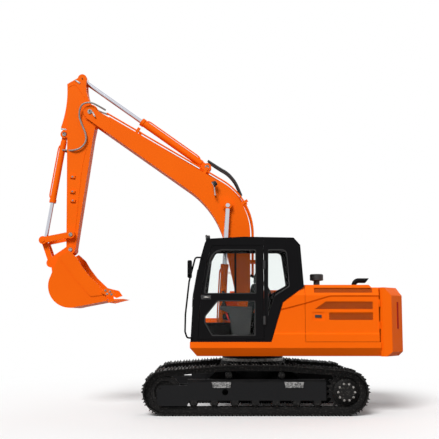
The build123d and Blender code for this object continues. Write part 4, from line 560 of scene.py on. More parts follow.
def holed_diamond():
    """One cell of the sheet: a diamond with a round hole, as thick as the sheet."""
    half = HOLE_PITCH / 2
    shape = bmesh.new()
    layers = []
    for z in (-SHEET / 2, SHEET / 2):
        outer = [shape.verts.new((half * cos(a), half * sin(a), z)) for a in (0, pi / 2, pi, 3 * pi / 2)]
        hole = half * HOLE_SHARE
        inner = []
        for side in range(HOLE_SIDES):
            angle = 2 * pi * side / HOLE_SIDES
            inner.append(shape.verts.new((hole * cos(angle), hole * sin(angle), z)))
        layers.append((outer, inner))
        for corner in range(4):
            first, second, third = (inner[(2 * corner + i) % HOLE_SIDES] for i in range(3))
            after = outer[(corner + 1) % 4]
            shape.faces.new((outer[corner], second, first))
            shape.faces.new((outer[corner], after, second))
            shape.faces.new((after, third, second))
    for side in range(HOLE_SIDES):
        after = (side + 1) % HOLE_SIDES
        shape.faces.new((layers[0][1][side], layers[0][1][after], layers[1][1][after], layers[1][1][side]))
    bmesh.ops.recalc_face_normals(shape, faces=shape.faces)
    mesh = bpy.data.meshes.new("holed_diamond")
    shape.to_mesh(mesh)
    shape.free()
    return bpy.data.objects.new("holed_diamond", mesh)


def grille_tree(material, cell):
    """Lays two shifted grids of cells over a sheet of a given length and height."""
    tree, given = start_tree("perforated_sheet", {"Length": 1.0, "Height": 0.1})
    counts = []
    spans = []
    for side in ("Length", "Height"):
        fits = add_node(tree, "ShaderNodeMath", {0: given[side], 1: HOLE_PITCH}, operation="DIVIDE")
        whole = add_node(tree, "ShaderNodeMath", {0: fits}, operation="FLOOR")
        counts.append(whole)
        spans.append(add_node(tree, "ShaderNodeMath", {0: whole, 1: HOLE_PITCH, 2: -HOLE_PITCH},
                              operation="MULTIPLY_ADD"))
    unit = add_node(tree, "GeometryNodeObjectInfo", {"Object": cell}).outputs["Geometry"]
    layers = add_node(tree, "GeometryNodeJoinGeometry")
    for shift in (0.0, HOLE_PITCH / 2):
        grid = add_node(tree, "GeometryNodeMeshGrid", {
            "Size X": spans[0], "Size Y": spans[1], "Vertices X": counts[0], "Vertices Y": counts[1]})
        moved = add_node(tree, "GeometryNodeTransform", {"Geometry": grid, "Translation": (shift, shift, 0)})
        cells = add_node(tree, "GeometryNodeInstanceOnPoints", {"Points": moved, "Instance": unit})
        fill_inputs(tree, layers, {"Geometry": cells})
    return end_tree(tree, layers, material)


perforated_sheet = grille_tree(orange_enamel, holed_diamond())

# %% Sheets in the doors
SCREEN_GAP = 0.02  # from the sheet to the dark screen behind it, coloured as painted shade of the door's inside
SCREEN_THICKNESS = 0.003
# a woven screen whose dark red-brown is painted shade of the door's inside, seen through the holes
shade_screen_finish = matt_finish("woven_painted_shade_screen", "#2A1008", "#1A0A06", 0.9, 3.0, 0.4)
DOOR_SKIN_Y = 1.213  # the middle of the door's skin in the pressed field
GRILLES = (  # middle of the sheet in X, Y and Z, its length, its height and its lean
    (-1.479, DOOR_SKIN_Y, 1.745, 1.08, 0.19, 0.0),
    (-1.572, DOOR_SKIN_Y, 1.569, 0.80, 0.19, 0.0),
    (-1.453, 1.184, 1.99, 1.03, 0.155, radians(31.2)),
)
for side in (1, -1):
    body = hand(side) + "_service_door_leaf"
    sheets = bmesh.new()
    screens = bmesh.new()
    inward = Vector((0, 0, -side))
    for x, y, z, length, height, lean in GRILLES:
        plain = bpy.data.meshes.new("sheet")
        sheet = grown("sheet_part", plain, perforated_sheet, {"Length": length, "Height": height}, body)
        upright = Matrix.Rotation(side * (lean - pi / 2) + (pi if side < 0 else 0), 4, "X")
        stand = Matrix.Translation((x, side * y, z)) @ upright
        sheet.data.transform(stand)
        sheets.from_mesh(sheet.data)
        bpy.data.objects.remove(sheet)
        shift = Vector((HOLE_PITCH / 2, HOLE_PITCH / 2, 0)) + inward * SCREEN_GAP
        behind = stand @ Matrix.Translation(shift)
        corners = []
        for a, b in SQUARE:
            corners.append(behind @ Vector((a * length / 2, b * height / 2, 0)))
        plate(screens, corners, behind.to_3x3() @ inward * SCREEN_THICKNESS)
    finish_piece(sheets, "perforated_grilles_" + hand(side), orange_enamel, body)
    finish_piece(screens, "dust_screens_" + hand(side), shade_screen_finish, body)

# %% [markdown]
# ## Hoses
# Oil reaches the bucket cylinder through loops of hose that leave the boom's tip, hang down both faces of
# the arm and swing in to the cylinder. Shorter ones join the arm cylinder's foot to the pipes on the boom's
# back. The loops wear a grey spiral guard over black rubber.

# %% Hose finish and hoses
spiral = ("ShaderNodeTexNoise", "Fac", {"Scale": per_metre(14), "Detail": 3.0})
hose_guard = patterned("spiral_hose_guard", spiral, ("#5E5A57", "#A59E97"),
                       {"Roughness": 0.45, "Metallic": 0.3}, (1.0, 0.5))
HOSE = 0.016
ARM_LOOP = (  # X and Z along the hose, and how far it stands from the middle
    (2.63, 5.27, 0.165), (2.76, 5.335, BOOM_SIDE + 0.03), (2.90, 5.40, BOOM_SIDE + 0.03),
    (3.06, 5.36, BOOM_SIDE + 0.03), (3.11, 5.17, ARM_SIDE + 0.045), (3.05, 5.00, ARM_SIDE + 0.045),
    (2.98, 4.85, ARM_SIDE + 0.045), (2.96, 4.70, ARM_SIDE + 0.045), (3.05, 4.57, ARM_SIDE + 0.045),
    (3.20, 4.525, ARM_SIDE + 0.045), (3.33, 4.552, 0.10), (3.43, 4.568, 0.03),
)
for side in (1, -1):
    route = [Vector((x, side * out, z)) for x, z, out in ARM_LOOP]
    loop = bent_tube("arm_hose_" + hand(side), route, HOSE, hose_guard)
    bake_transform(loop)

FOOT_HOSE = ((0.79, 4.36), (0.70, 4.30), (0.58, 4.22), (0.44, 4.14), (0.33, 4.02), (0.26, 3.90), (0.19, 3.72))
FOOT_HOSE_RADIUS = 0.02
SPREAD = 0.08  # share by which the two drift apart from one point of the route to the next
for y in (0.09, -0.09):
    route = [Vector((x, y * (1.0 + SPREAD * index), z)) for index, (x, z) in enumerate(FOOT_HOSE)]
    piece = bent_tube("arm_cylinder_hose_" + hand(y), route, FOOT_HOSE_RADIUS, hose_rubber)
    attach(piece, "boom_unit")

# %% [markdown]
# ## Pins and keepers
# A pin is kept from turning by a small plate bolted beside it, and its end shows a dark grease hole. Both
# are bright marks on the plain orange, and the eye finds the joints by them.

# %% Keeper plates and grease holes
# grease holes and the exhaust's mouth are flat discs of painted shade, standing for the dark inside of a bore
dark_hole = matt_finish("shaded_bore", "#1A0F0A", "#0C0806", 0.8, 6.0, 0.2)
zinc = patterned("zinc_plated_steel", ("ShaderNodeTexVoronoi", "Distance", {"Scale": per_metre(12)}),
                 ("#B9B6B1", "#8F8C88"), {"Metallic": 0.9, "Roughness": 0.38})
KEEPER = (0.1, 0.026, 0.012)  # length, height and thickness
KEEPER_BOLTS = (-0.03, 0.03)
KEEPER_BOLT = 0.008
GREASE_HOLE = 0.012
HOLE_PROUD = 0.012


def keeper(shape, at, direction, side):
    """Add a keeper plate beside a pin: its middle, the way that it lies and the side that it is on."""
    way = Vector(direction).normalized()
    across = Vector((-way.z, 0, way.x))
    corners = []
    for a, b in SQUARE:
        corners.append(Vector(at) + way * a * KEEPER[0] / 2 + across * b * KEEPER[1] / 2)
    plate(shape, corners, LEFT * side * KEEPER[2])


def pin_marks(name, pins, body):
    """Keeper plates and grease holes for pins given by place, face, offset of the keeper and its way."""
    keepers, holes, bolts = bmesh.new(), bmesh.new(), []
    for at, face, offset, way in pins:
        for side in (1, -1):
            middle = Vector((at.x + offset[0], side * face, at.z + offset[1]))
            keeper(keepers, middle, way, side)
            outside = middle + LEFT * side * KEEPER[2]
            for end in KEEPER_BOLTS:
                bolts.append((outside + Vector(way).normalized() * end, LEFT * side))
            mark = (at.x, side * (face + HOLE_PROUD), at.z)
            turned(holes, [(GREASE_HOLE, 0.0), (GREASE_HOLE, 0.003)], mark, LEFT * side, 12)
    finish_piece(keepers, name + "_keepers", zinc, body, 2.0)
    finish_piece(holes, name + "_grease_holes", dark_hole, body)
    bolt_set(name + "_keeper_bolts", bolts, KEEPER_BOLT, body)


PROUD = 0.003
boom_pins = [(joint_at("arm_fold"), BOOM_SIDE + PROUD, (-0.075, -0.06), (-0.45, 0, -0.75))]
arm_pins = [(joint_at("arm_rod_slide"), ARM_SIDE + PROUD, (0.08, -0.06), (0.8, 0, 0.5)),
            (joint_at("bucket_barrel_turn"), ARM_SIDE + PROUD, (0.0, 0.075), (1, 0, 0.15))]
pin_marks("boom_tip", boom_pins, "boom_unit")
pin_marks("arm", arm_pins, "arm_unit")

# %% [markdown]
# ## Work lamps
# Two lamps light the bucket: one on a bracket at the boom's bend and one on the cab's roof. Each is a
# ribbed black housing with a clear lens that faces forward.

# %% Lamps
lens = patterned("clear_lamp_lens", ("ShaderNodeTexWave", "Fac", {"Scale": per_metre(40), "Distortion": 0.5}),
                 ("#C8CCCB", "#F2F4F2"), {"Roughness": 0.12, "Metallic": 0.4})
HOUSING = [(0.028, -0.055), (0.045, -0.05), (0.045, -0.042), (0.036, -0.04), (0.048, -0.03), (0.048, -0.022),
           (0.04, -0.02), (0.056, -0.008), (0.056, 0.02)]  # radius and height of the ribs
LENS = [(0.05, 0.0195), (0.048, 0.023), (0.03, 0.026), (0.008, 0.027)]


def work_lamp(name, at, aim, body):
    """A round work lamp: a ribbed housing and its lens."""
    aim = Vector(aim).normalized()
    housing = bmesh.new()
    turned(housing, HOUSING, at, aim)
    finish_piece(housing, name + "_housing", black_plastic, body, 1.0)
    glass = bmesh.new()
    turned(glass, LENS, at, aim)
    finish_piece(glass, name + "_lens", lens, body)


LAMP_Y = BOOM_SIDE + 0.09
POST = 0.012
work_lamp("boom_lamp", Vector((0.68, LAMP_Y, 3.90)), (0.75, 0, -0.45), "boom_unit")
bracket = bmesh.new()
turned(bracket, [(POST, 0.0), (POST, 0.19)], (0.66, LAMP_Y, 3.71), (0.1, 0, 1), 12)
turned(bracket, [(0.016, 0.0), (0.016, 0.1)], (0.66, BOOM_SIDE - 0.004, 3.715), LEFT, 12)
finish_piece(bracket, "boom_lamp_bracket", zinc, "boom_unit", 1.0)

roof_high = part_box("cab_roof")[1]
ROOF_LAMP_Y = 1.02
roof_spot = Vector((roof_high.x - 0.03, ROOF_LAMP_Y, roof_high.z - 0.01))
work_lamp("roof_lamp", roof_spot, (1, 0, -0.12), "upper_structure")
stand = bmesh.new()
foot = (roof_high.x - 0.05, ROOF_LAMP_Y, roof_high.z - 0.09)
turned(stand, [(POST, 0.0), (POST, 0.07)], foot, (0.2, 0, 1), 12)
finish_piece(stand, "roof_lamp_stand", black_plastic, "upper_structure")

# %% [markdown]
# ## Operator's seat
# The seat is foam under woven cloth. A cushion swells between its seams and its sides pull in between the
# corners, so a block of many small faces is shaped by a rule: full in the middle, thin at the rim and
# pinched along two sewn lines.

# %% Seat
RIM = 0.72  # height of the pad at its rim, as a share of its middle
PULL = 0.035  # how far the sides draw in between the corners
ROUND_OFF = 0.06
SEAM_HALF = 0.09
GROOVE = 0.009
PAD_CUTS = 15


def cushion(name, middle, axes, halves, seams):
    """A crowned pad from its middle, its three directions, its half sizes and the places of its seams."""
    shape = bmesh.new()
    bmesh.ops.create_cube(shape, size=2.0)
    bmesh.ops.subdivide_edges(shape, edges=shape.edges, cuts=PAD_CUTS, use_grid_fill=True)
    groove = GROOVE / halves[2]
    for vert in shape.verts:
        u, v, w = vert.co
        fullness = (1 - abs(u) ** 4) * (1 - abs(v) ** 4)
        pinch = sum(groove * max(0.0, 1 - abs(v - seam) / SEAM_HALF) for seam in seams)
        crown = w * (RIM + (1 - RIM) * fullness - (pinch if w > 0 else 0))
        pull = 1 - PULL * (1 - v * v)
        pull_v = 1 - PULL * (1 - u * u)
        round_off = 1 - ROUND_OFF * w * w
        place = Vector(middle)
        place += Vector(axes[0]) * u * halves[0] * pull * round_off
        place += Vector(axes[1]) * v * halves[1] * pull_v * round_off
        place += Vector(axes[2]) * crown * halves[2]
        vert.co = place
    piece = finish_piece(shape, name, seat_cloth, "upper_structure")
    smooth = piece.modifiers.new("smooth", "SUBSURF")
    smooth.levels = 1
    smooth.render_levels = 1
    for face in piece.data.polygons:
        face.use_smooth = True
    return piece


seat_low, seat_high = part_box("operator_seat")
seat_y = (seat_low.y + seat_high.y) / 2
seat_half = (seat_high.y - seat_low.y) / 2
LEAN = Vector((-0.16, 0, 0.987))  # the way up the seat's back
BACK_AXES = (LEAN, LEFT, (0.987, 0, 0.16))
BACK_FOOT_Z = 1.62
SEAMS = (-0.45, 0.45)
squab = cushion("seat_cushion", (0.32, seat_y, 1.575), ((1, 0, 0.03), LEFT, (-0.03, 0, 1)),
                (0.21, seat_half * 0.96, 0.065), SEAMS)
cushion("seat_back", Vector((0.075, seat_y, BACK_FOOT_Z)) + LEAN * 0.24, BACK_AXES,
        (0.27, seat_half * 0.92, 0.06), SEAMS)
cushion("seat_head_rest", Vector((0.055, seat_y, BACK_FOOT_Z)) + LEAN * 0.61, BACK_AXES,
        (0.09, seat_half * 0.5, 0.045), (0.0,))
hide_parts("operator_seat")
FOLDS = 7
FOLD_HEIGHT = 0.035
BELLOWS_FOOT = 1.25
base = bmesh.new()
bellows = []
for fold in range(FOLDS):
    low = BELLOWS_FOOT + FOLD_HEIGHT * fold
    bellows += [(0.16, low), (0.19, low + FOLD_HEIGHT / 2)]
turned(base, bellows, (0.2, seat_y, 0), (0, 0, 1), 24)
finish_piece(base, "seat_bellows", hose_rubber, "upper_structure")

# %% Monitor and levers
BOOT = [(0.05, 0.0), (0.042, 0.012), (0.046, 0.02), (0.034, 0.035), (0.038, 0.043), (0.022, 0.06)]
LEVER_GRIP = [(0.014, 0.0), (0.022, 0.02), (0.026, 0.06), (0.024, 0.1), (0.012, 0.115)]
LEVER_X = 0.51
LEVER_OUT = 0.3
cab_parts = bmesh.new()
for side in (1, -1):
    y = seat_y + side * LEVER_OUT
    turned(cab_parts, BOOT, (LEVER_X, y, 1.755), (0, 0, 1))
    turned(cab_parts, LEVER_GRIP, (LEVER_X, y, 1.885), (0.1, 0, 1))
near, far = seat_y - 0.16, seat_y - 0.36
monitor = [(0.83, far, 1.9), (0.8, far, 2.08), (0.8, near, 2.08), (0.83, near, 1.9)]
plate(cab_parts, monitor, (0.04, 0, 0.005))
turned(cab_parts, [(0.015, 0.0), (0.015, 0.68)], (0.87, seat_y - 0.26, 1.25), (0, 0, 1), 12)
finish_piece(cab_parts, "levers_and_monitor", black_plastic, "upper_structure", 2.0)
# its fourth colour is a paler copy of the red: dust and a painted highlight on faces that look up
red_enamel = sprayed_enamel("red_enamel", "#B3170E", "#9E120B", "#A4544C", 0.4, 0.1)
LOCK = [(0.012, 0.0), (0.012, 0.2), (0.02, 0.205), (0.02, 0.3), (0.01, 0.31)]
lock = bmesh.new()
turned(lock, LOCK, (0.42, seat_y + 0.31, 1.5), (0.35, 0, 1), 12)
finish_piece(lock, "hydraulic_lock_lever", red_enamel, "upper_structure")

# %% [markdown]
# ## Welds
# The boom and the arm are boxes of welded plate. A weld shows as a low rounded bead along a seam, painted
# with the rest. Each bead is a thin tube that lies half sunk in the plate.

# %% Weld beads
ARM_BEAD = 0.006
BOOM_BEAD = 0.004  # lower, because the boom cylinders' glands sweep close past it
BOOM_PLATE = 0.193  # just inside the boom's side plates
ARM_SEAMS = (  # along and above the member's line
    ((-0.40, 0.47), (-0.482, 0.36), (-0.456, 0.311), (-0.32, 0.19), (-0.166, 0.061)),
    ((0.45, -0.07), (0.78, 0.02), (1.6, -0.01), (2.15, -0.03)),
)
BOOM_SEAMS = (
    ((1.28, 0.93), (1.5, 0.80), (1.62, 0.66)),
    ((4.525, 0.113), (4.3, 0.2), (4.22, 0.19), (4.15, 0.09), (4.14, 0.013)),
    ((0.55, 0.42), (0.72, 0.30), (0.86, 0.22)),
)


def beads(name, member, seams, face, body, radius):
    """Weld beads along seams on both faces of the boom or the arm."""
    for index, seam in enumerate(seams):
        for side in (1, -1):
            route = [member.at(along, above, side * face) for along, above in seam]
            bead = bent_tube(f"{name}_{index}_{hand(side)}", route, radius, orange_enamel)
            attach(bead, body)


beads("arm_seam", arm, ARM_SEAMS, ARM_SIDE, "arm_unit", ARM_BEAD)
beads("boom_seam", boom, BOOM_SEAMS, BOOM_PLATE, "boom_unit", BOOM_BEAD)

# %% [markdown]
# ## Cylinders
# Oil runs along each barrel in a steel tube to the rod's end, where a ring of bolts holds the gland. The
# tubes lie on the side that faces away from the boom or the arm, just off the barrel.

# %% Barrel tubes and gland bolts
OIL_TUBE = 0.012
TUBE_CLEAR = 0.02
GLAND_BOLT = 0.007
GLAND_BOLTS = 8
GLAND_SHARE = 0.82  # of the barrel's radius
ARM_BARREL = (0.064, 1.463)  # radius and length
BUCKET_BARREL = (0.054, 1.253)
BOOM_BARREL = (0.062, 1.215)
BARREL_SPREAD = 0.27


def barrel_fittings(name, foot, towards, radius, length, body, side=1):
    """A tube along a barrel and a ring of gland bolts at its open end."""
    way = (towards - foot).normalized()
    out = Vector((-way.z, 0, way.x)) * side
    sunk, clear = radius * 0.9, radius + TUBE_CLEAR
    stations = ((0.2, sunk), (0.22, clear), (0.4, clear), (length - 0.22, clear), (length - 0.1, clear),
                (length - 0.08, sunk))
    route = [foot + way * along + out * away for along, away in stations]
    tube = bent_tube(name + "_tube", route, OIL_TUBE, orange_enamel)
    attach(tube, body)
    bolts = bolt_circle(foot + way * length, way, radius * GLAND_SHARE, GLAND_BOLTS)
    bolt_set(name + "_gland_bolts", bolts, GLAND_BOLT, body)


barrel_fittings("arm_cylinder", joint_at("arm_barrel_turn"), joint_at("arm_rod_slide"), *ARM_BARREL,
                "arm_cylinder_barrel")
barrel_fittings("bucket_cylinder", joint_at("bucket_barrel_turn"), joint_at("bucket_rod_slide"),
                *BUCKET_BARREL, "bucket_cylinder_barrel")
for side in (1, -1):
    beside = LEFT * side * BARREL_SPREAD
    barrel_fittings("boom_cylinder_" + hand(side), joint_at("boom_barrels_turn") + beside,
                    joint_at("boom_rods_slide") + beside, *BOOM_BARREL, "boom_cylinder_barrels", -1)

# %% Painted rod eyes
EYE_REACH = 0.0745  # just over the eye's own radius
EYE_INNER = 0.2435
EYE_WALL = 0.053
EYE_PROFILE = [(0.05, 0.0), (EYE_REACH, 0.0), (EYE_REACH, EYE_WALL), (0.066, EYE_WALL + 0.006),
               (0.04, EYE_WALL + 0.006), (0.036, EYE_WALL + 0.002), (0.012, EYE_WALL + 0.002)]
rod_eye = joint_at("boom_rods_slide")
for side in (1, -1):
    boss = bmesh.new()
    turned(boss, EYE_PROFILE, (rod_eye.x, side * EYE_INNER, rod_eye.z), LEFT * side, 32)
    finish_piece(boss, "boom_rod_eye_" + hand(side), orange_enamel, "boom_cylinder_rods")

# %% Pipe clamps on the arm
CLAMPS = ((1.205, 0.15), (1.472, 0.115), (1.631, 0.085))  # along and above the arm's line
CLAMP_HALF = (0.025, 0.045)
CLAMP_OUT = 0.03
CLAMP_BOLT = 0.012
clamps = bmesh.new()
clamp_bolts = []
for side in (1, -1):
    for along, above in CLAMPS:
        corners = []
        for a, b in SQUARE:
            corners.append(arm.at(along + a * CLAMP_HALF[0], above + b * CLAMP_HALF[1], side * ARM_SIDE))
        plate(clamps, corners, LEFT * side * CLAMP_OUT)
        clamp_bolts.append((arm.at(along, above, side * (ARM_SIDE + CLAMP_OUT)), LEFT * side))
finish_piece(clamps, "arm_pipe_clamps", orange_enamel, "arm_unit", 3.0)
bolt_set("arm_clamp_bolts", clamp_bolts, CLAMP_BOLT, "arm_unit")

# %% [markdown]
# ## Hoses at the boom's foot
# Four hoses rise out of the deck behind the boom and join the pipes on its back.

# %% Foot hoses
BACK_HOSE = ((-0.27, 1.56), (-0.33, 1.78), (-0.32, 2.0), (-0.2, 2.18), (-0.08, 2.26), (0.03, 2.31))
BACK_HOSE_RADIUS = 0.017
for index, y in enumerate((0.165, 0.07, -0.07, -0.165)):
    route = [Vector((x, y, z)) for x, z in BACK_HOSE]
    hose = bent_tube(f"boom_foot_hose_{index}", route, BACK_HOSE_RADIUS, hose_rubber)
    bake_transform(hose)

# %% [markdown]
# ## Bucket
# Bolted side cutters guard the bucket's edges, and their bolts are large, because they take the load of
# digging.

# %% Bucket bolts
BUCKET_TURN = radians(-138.6)
CUTTER_BOLTS = ((0.99, 0.10), (1.05, 0.125), (1.06, 0.065), (1.11, 0.08))  # along and above the bucket's line
CUTTER_FACE = 0.527
CUTTER_BOLT = 0.015
bucket_start = joint_at("bucket_curl")
bucket_along = Vector((cos(BUCKET_TURN), 0, sin(BUCKET_TURN)))
bucket_above = Vector((-sin(BUCKET_TURN), 0, cos(BUCKET_TURN)))
cutter_bolts = []
for side in (1, -1):
    for along, above in CUTTER_BOLTS:
        place = bucket_start + bucket_along * along + bucket_above * above + LEFT * side * CUTTER_FACE
        cutter_bolts.append((place, LEFT * side))
bolt_set("side_cutter_bolts", cutter_bolts, CUTTER_BOLT, "bucket_unit")

# %% [markdown]
# ## Step plates
# Two plates on each track frame serve as steps. Boots scuff their paint off, so the steel shows in streaks.

# %% Steps
scuffed_step, tree, shader, place = start_material("boot_scuffed_steel")
streaks = add_node(tree, "ShaderNodeTexNoise", {
    "Vector": place, "Scale": per_metre(45), "Detail": 9.0, "Distortion": 1.5})
bare = add_node(tree, "ShaderNodeMapRange", {"Value": streaks, "From Min": 0.4, "From Max": 0.62})
scuffs = add_node(tree, "ShaderNodeMix", {
    "Factor": bare, 6: linear("#4A4A4A"), 7: linear("#9C9B99")}, data_type="RGBA")
rubbed = add_node(tree, "ShaderNodeMapRange", {"Value": bare, "To Min": 0.6, "To Max": 0.4})
relief = add_node(tree, "ShaderNodeBump", {"Height": streaks, "Strength": 0.5, "Distance": 0.0008})
fill_inputs(tree, shader, {"Base Color": scuffs, "Roughness": rubbed, "Normal": relief, "Metallic": 0.6})
STEP_TOP, STEP_FOOT = 0.533, 0.44
STEP_TOP_HALF, STEP_FOOT_HALF = 0.1575, 0.1395
STEP_PLATE = 0.003
steps = bmesh.new()
frame_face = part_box("track_frames")[1].y
for side in (1, -1):
    for x in (0.55, -0.625):
        face = [(x - STEP_TOP_HALF, STEP_TOP), (x + STEP_TOP_HALF, STEP_TOP),
                (x + STEP_FOOT_HALF, STEP_FOOT), (x - STEP_FOOT_HALF, STEP_FOOT)]
        plate(steps, [Vector((px, side * frame_face, pz)) for px, pz in face], LEFT * side * STEP_PLATE)
finish_piece(steps, "step_plates", scuffed_step, "undercarriage", 1.0)

# %% [markdown]
# ## Cab fittings
# Rubber gaskets hold the panes, a wiper parks on the windscreen, and the door has a handle and two hinge
# covers. The gaskets follow the rounded outlines of the windows, a thin lip on the left face.

# %% Gaskets
CAB_LEFT = 1.213


def rounded(corners, radii, steps=6):
    """An outline of (x, z) corners with each corner rounded by its own radius."""
    outline = []
    count = len(corners)
    for index, (corner, radius) in enumerate(zip(corners, radii)):
        here = Vector(corner)
        before = (Vector(corners[index - 1]) - here).normalized()
        after = (Vector(corners[(index + 1) % count]) - here).normalized()
        if radius < 0.001:
            outline.append(here)
            continue
        half = before.angle(after) / 2
        centre = here + (before + after).normalized() * radius / sin(half)
        first = here + before * radius / tan(half)
        last = here + after * radius / tan(half)
        for step in range(steps + 1):
            spoke = (first - centre).lerp(last - centre, step / steps).normalized()
            outline.append(centre + spoke * radius)
    return outline


WINDOWS = {  # corners in X and Z, their radii and the body
    "rear": (((-0.213, 2.669), (-0.519, 2.669), (-0.561, 2.072), (-0.316, 1.917), (-0.206, 1.582)),
             (0.025, 0.085, 0.03, 0.06, 0.0), "upper_structure"),
    "door_upper": (((-0.014, 1.957), (0.833, 1.957), (0.709, 2.669), (-0.014, 2.669)),
                   (0.02, 0.025, 0.215, 0.025), "cab_door_leaf"),
    "door_lower": (((0.003, 1.275), (0.697, 1.275), (0.818, 1.481), (0.818, 1.588), (0.616, 1.836),
                    (0.003, 1.836)), (0.025, 0.03, 0.06, 0.05, 0.03, 0.025), "cab_door_leaf"),
}
LIP = ((0.012, -0.03), (0.012, 0.003), (0.0, 0.005), (-0.008, 0.0))  # inwards, and out of the cab's face
gasket_rubber = matt_finish("moulded_gasket_rubber", "#121212", "#080808", 0.7, 4.0, 0.2)
for name, (corners, radii, body) in WINDOWS.items():
    outline = rounded(corners, radii)
    middle = sum(outline, Vector((0, 0))) / len(outline)
    lip = bmesh.new()
    rings = []
    for shrink, proud in LIP:
        ring = []
        for place in outline:
            spot = place + (middle - place).normalized() * shrink
            ring.append(lip.verts.new((spot.x, CAB_LEFT + proud, spot.y)))
        rings.append(ring)
    rings.append(rings[0])
    for low, high in zip(rings, rings[1:]):
        for index in range(len(outline)):
            after = (index + 1) % len(outline)
            lip.faces.new((low[index], low[after], high[after], high[index]))
    finish_piece(lip, name + "_gasket", gasket_rubber, body)

# %% Handle, hinge covers and wiper
HANDLE = ((0.72, 1.86), (0.88, 1.86), (0.885, 1.93), (0.72, 1.93))
HINGE = [(0.02, 0.0), (0.024, 0.01), (0.024, 0.13), (0.02, 0.14)]
GRIP = ((0.74, 1.222), (0.745, 1.245), (0.79, 1.25), (0.835, 1.245), (0.84, 1.222))  # X and Y
GRIP_Z = 1.895
PADDLE = 0.012  # thickness of the handle's plate and of the latches
WIPER = ((0.012, 0.62, 1.74), (0.012, 0.6, 1.9), (0.05, 0.57, 2.1), (0.075, 0.56, 2.25))  # back, Y and Z
BLADE = ((0.02, 0.56, 1.9), (0.06, 0.56, 2.15), (0.1, 0.56, 2.38))
door_parts = bmesh.new()
plate(door_parts, [Vector((x, CAB_LEFT, z)) for x, z in HANDLE], LEFT * PADDLE)
for z in (1.45, 2.35):
    turned(door_parts, HINGE, (-0.147, 1.23, z), (0, 0, 1), 16)
finish_piece(door_parts, "door_handle_plate", black_plastic, "cab_door_leaf", 3.0)
grip = bent_tube("door_handle_grip", [Vector((x, y, GRIP_Z)) for x, y in GRIP], 0.009, zinc)
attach(grip, "cab_door_leaf")
front_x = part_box("cab_front_frame")[1].x
wiper_route = [Vector((front_x - back, y, z)) for back, y, z in WIPER]
wiper = bent_tube("wiper_arm", wiper_route, 0.007, black_plastic)
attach(wiper, "upper_structure")
blade_route = [Vector((front_x - back, y, z)) for back, y, z in BLADE]
blade = bent_tube("wiper_blade", blade_route, 0.009, gasket_rubber)
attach(blade, "upper_structure")

# %% [markdown]
# ## Marks on the rear and the roof
# A red reflector runs down each of the counterweight's corners, the exhaust ends in a dark mouth, and each
# service door is opened by a paddle latch in its recess. An amber marker sits on the mirror.

# %% Reflector, exhaust mouth and latches
red_reflector = patterned("red_reflex_lens", ("ShaderNodeTexVoronoi", "Distance", {"Scale": per_metre(9)}),
                          ("#C81408", "#8C0804"), {"Roughness": 0.5, "Specular IOR Level": 0.05})
CORNER = (-2.338, 1.08)  # the middle of the corner face, in X and Y
FACING = (-0.786, 0.618)
REFLECTOR_HALF = 0.025
REFLECTOR_PLATE = 0.004
REFLECTOR_TOP, REFLECTOR_FOOT = 1.82, 1.385
strip = bmesh.new()
for side in (1, -1):
    out = Vector((FACING[0], side * FACING[1], 0))
    flat = Vector((-FACING[1], side * FACING[0], 0))
    corner = Vector((CORNER[0], side * CORNER[1], 0))
    outline = []
    for across, z in ((-1, REFLECTOR_TOP), (1, REFLECTOR_TOP), (1, REFLECTOR_FOOT), (-1, REFLECTOR_FOOT)):
        outline.append(corner + flat * across * REFLECTOR_HALF + Vector((0, 0, z)))
    plate(strip, outline, out * REFLECTOR_PLATE)
finish_piece(strip, "corner_reflectors", red_reflector, "upper_structure", 1.0)

# a flat disc of painted shade stands for the dark inside of the exhaust pipe
mouth = bmesh.new()
turned(mouth, [(0.036, 0.0), (0.036, 0.002)], (-2.088, -0.3, 2.227), (-0.765, 0, -0.643), 24)
finish_piece(mouth, "exhaust_mouth", dark_hole, "upper_structure")
LATCH = ((-1.075, 1.565), (-0.967, 1.565), (-0.967, 1.611), (-1.075, 1.611))
for side in (1, -1):
    latch = bmesh.new()
    plate(latch, [Vector((x, side * DOOR_SKIN_Y, z)) for x, z in LATCH], LEFT * side * PADDLE)
    finish_piece(latch, "door_latch_" + hand(side), black_plastic, hand(side) + "_service_door_leaf", 3.0)

amber_lens = patterned("amber_marker_lens", ("ShaderNodeTexWave", "Fac", {"Scale": per_metre(25)}),
                       ("#F2A51C", "#D98405"), {"Roughness": 0.2})
marker = bmesh.new()
turned(marker, [(0.018, 0.0), (0.018, 0.006), (0.008, 0.012)], (1.064, 1.366, 2.24), LEFT * -1, 16)
finish_piece(marker, "mirror_marker", amber_lens, "upper_structure")

# %% [markdown]
# ## Floor, light and camera
# A pale floor runs into a pale world, as in a studio. It is white to the eye but greyer to the light that
# bounces, so that the undersides stay dark. One broad key lamp stands high behind the camera and a weak one
# fills the far side. The camera stands level with the operator's seat and looks slightly up, which is where
# a fit to the photograph puts it.

# %% Stage
FLOOR_HALF = 60.0
FADE_FROM = 3.5  # metres from the swing axis, where the floor starts to turn plain white
FADE_TO = 9.0
mesh = bpy.data.meshes.new("floor")
mesh.from_pydata([(-FLOOR_HALF, -FLOOR_HALF, 0), (FLOOR_HALF, -FLOOR_HALF, 0),
                  (FLOOR_HALF, FLOOR_HALF, 0), (-FLOOR_HALF, FLOOR_HALF, 0)], [], [(0, 1, 2, 3)])
floor = bpy.data.objects.new("floor", mesh)
show(floor)
floor_white, tree, shader, place = start_material("matt_white_floor")
reach = add_node(tree, "ShaderNodeVectorMath", {0: place}, operation="LENGTH").outputs["Value"]
fade = add_node(tree, "ShaderNodeMapRange", {"Value": reach, "From Min": FADE_FROM, "From Max": FADE_TO})
glow = add_node(tree, "ShaderNodeEmission", {"Color": linear("#FFFFFF"), "Strength": 1.0})
world = bpy.data.worlds.new("studio")
bpy.context.scene.world = world
world.use_nodes = True
seen = []  # in the floor and in the world: 1 for a ray from the eye, a mirror or a pane
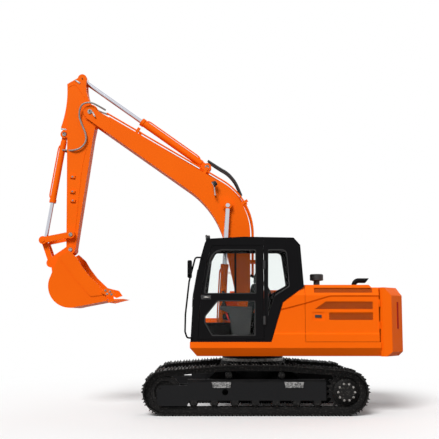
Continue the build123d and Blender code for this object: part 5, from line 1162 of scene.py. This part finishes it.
for user in (tree, world.node_tree):
    path = add_node(user, "ShaderNodeLightPath").outputs
    mirrored = add_node(user, "ShaderNodeMath", {
        0: path["Is Camera Ray"], 1: path["Is Glossy Ray"]}, operation="MAXIMUM")
    seen.append(add_node(user, "ShaderNodeMath", {
        0: mirrored, 1: path["Is Transmission Ray"]}, operation="MAXIMUM"))
pale = add_node(tree, "ShaderNodeMix", {
    "Factor": seen[0], 6: linear("#8C8C8C"), 7: linear("#F7F7F7")}, data_type="RGBA")
fill_inputs(tree, shader, {"Base Color": pale, "Roughness": 0.9, "Specular IOR Level": 0.1})
share = add_node(tree, "ShaderNodeMath", {0: fade, 1: seen[0]}, operation="MULTIPLY")
mixed = add_node(tree, "ShaderNodeMixShader", {0: share, 1: shader, 2: glow})
fill_inputs(tree, tree.nodes["Material Output"], {"Surface": mixed})
mesh.materials.append(floor_white)

level = add_node(world.node_tree, "ShaderNodeMapRange", {"Value": seen[1], "To Min": 0.42, "To Max": 1.0})
sky = world.node_tree.nodes["Background"]
fill_inputs(world.node_tree, sky, {"Color": linear("#FFFFFF"), "Strength": level})

LAMPS = (("key", 2.75, 25, (-0.35, -1.0, -0.85)), ("fill", 0.5, 60, (0.6, 1.0, -0.7)))
for name, energy, angle, direction in LAMPS:  # the angle is how broad the lamp looks, in degrees
    sun = bpy.data.lights.new(name, "SUN")
    sun.energy = energy
    sun.angle = radians(angle)
    lamp = bpy.data.objects.new(name, sun)
    lamp.rotation_euler = Vector(direction).to_track_quat("-Z", "Y").to_euler()
    show(lamp)

# %% Camera
CAMERA_AT = Vector((0.581, 14.72, 1.6))
PITCH_UP = 6.62  # degrees above the horizon
IMAGE_SIDE = 439
FOCAL_PIXELS = 826.9
camera = bpy.data.cameras.new("portrait")
camera.sensor_width = 36.0
camera.lens = FOCAL_PIXELS / IMAGE_SIDE * camera.sensor_width
portrait = bpy.data.objects.new("portrait", camera)
portrait.location = CAMERA_AT
portrait.rotation_euler = (radians(90 + PITCH_UP), 0, pi)
show(portrait)
bpy.context.scene.camera = portrait
bpy.context.scene.view_settings.view_transform = "Standard"
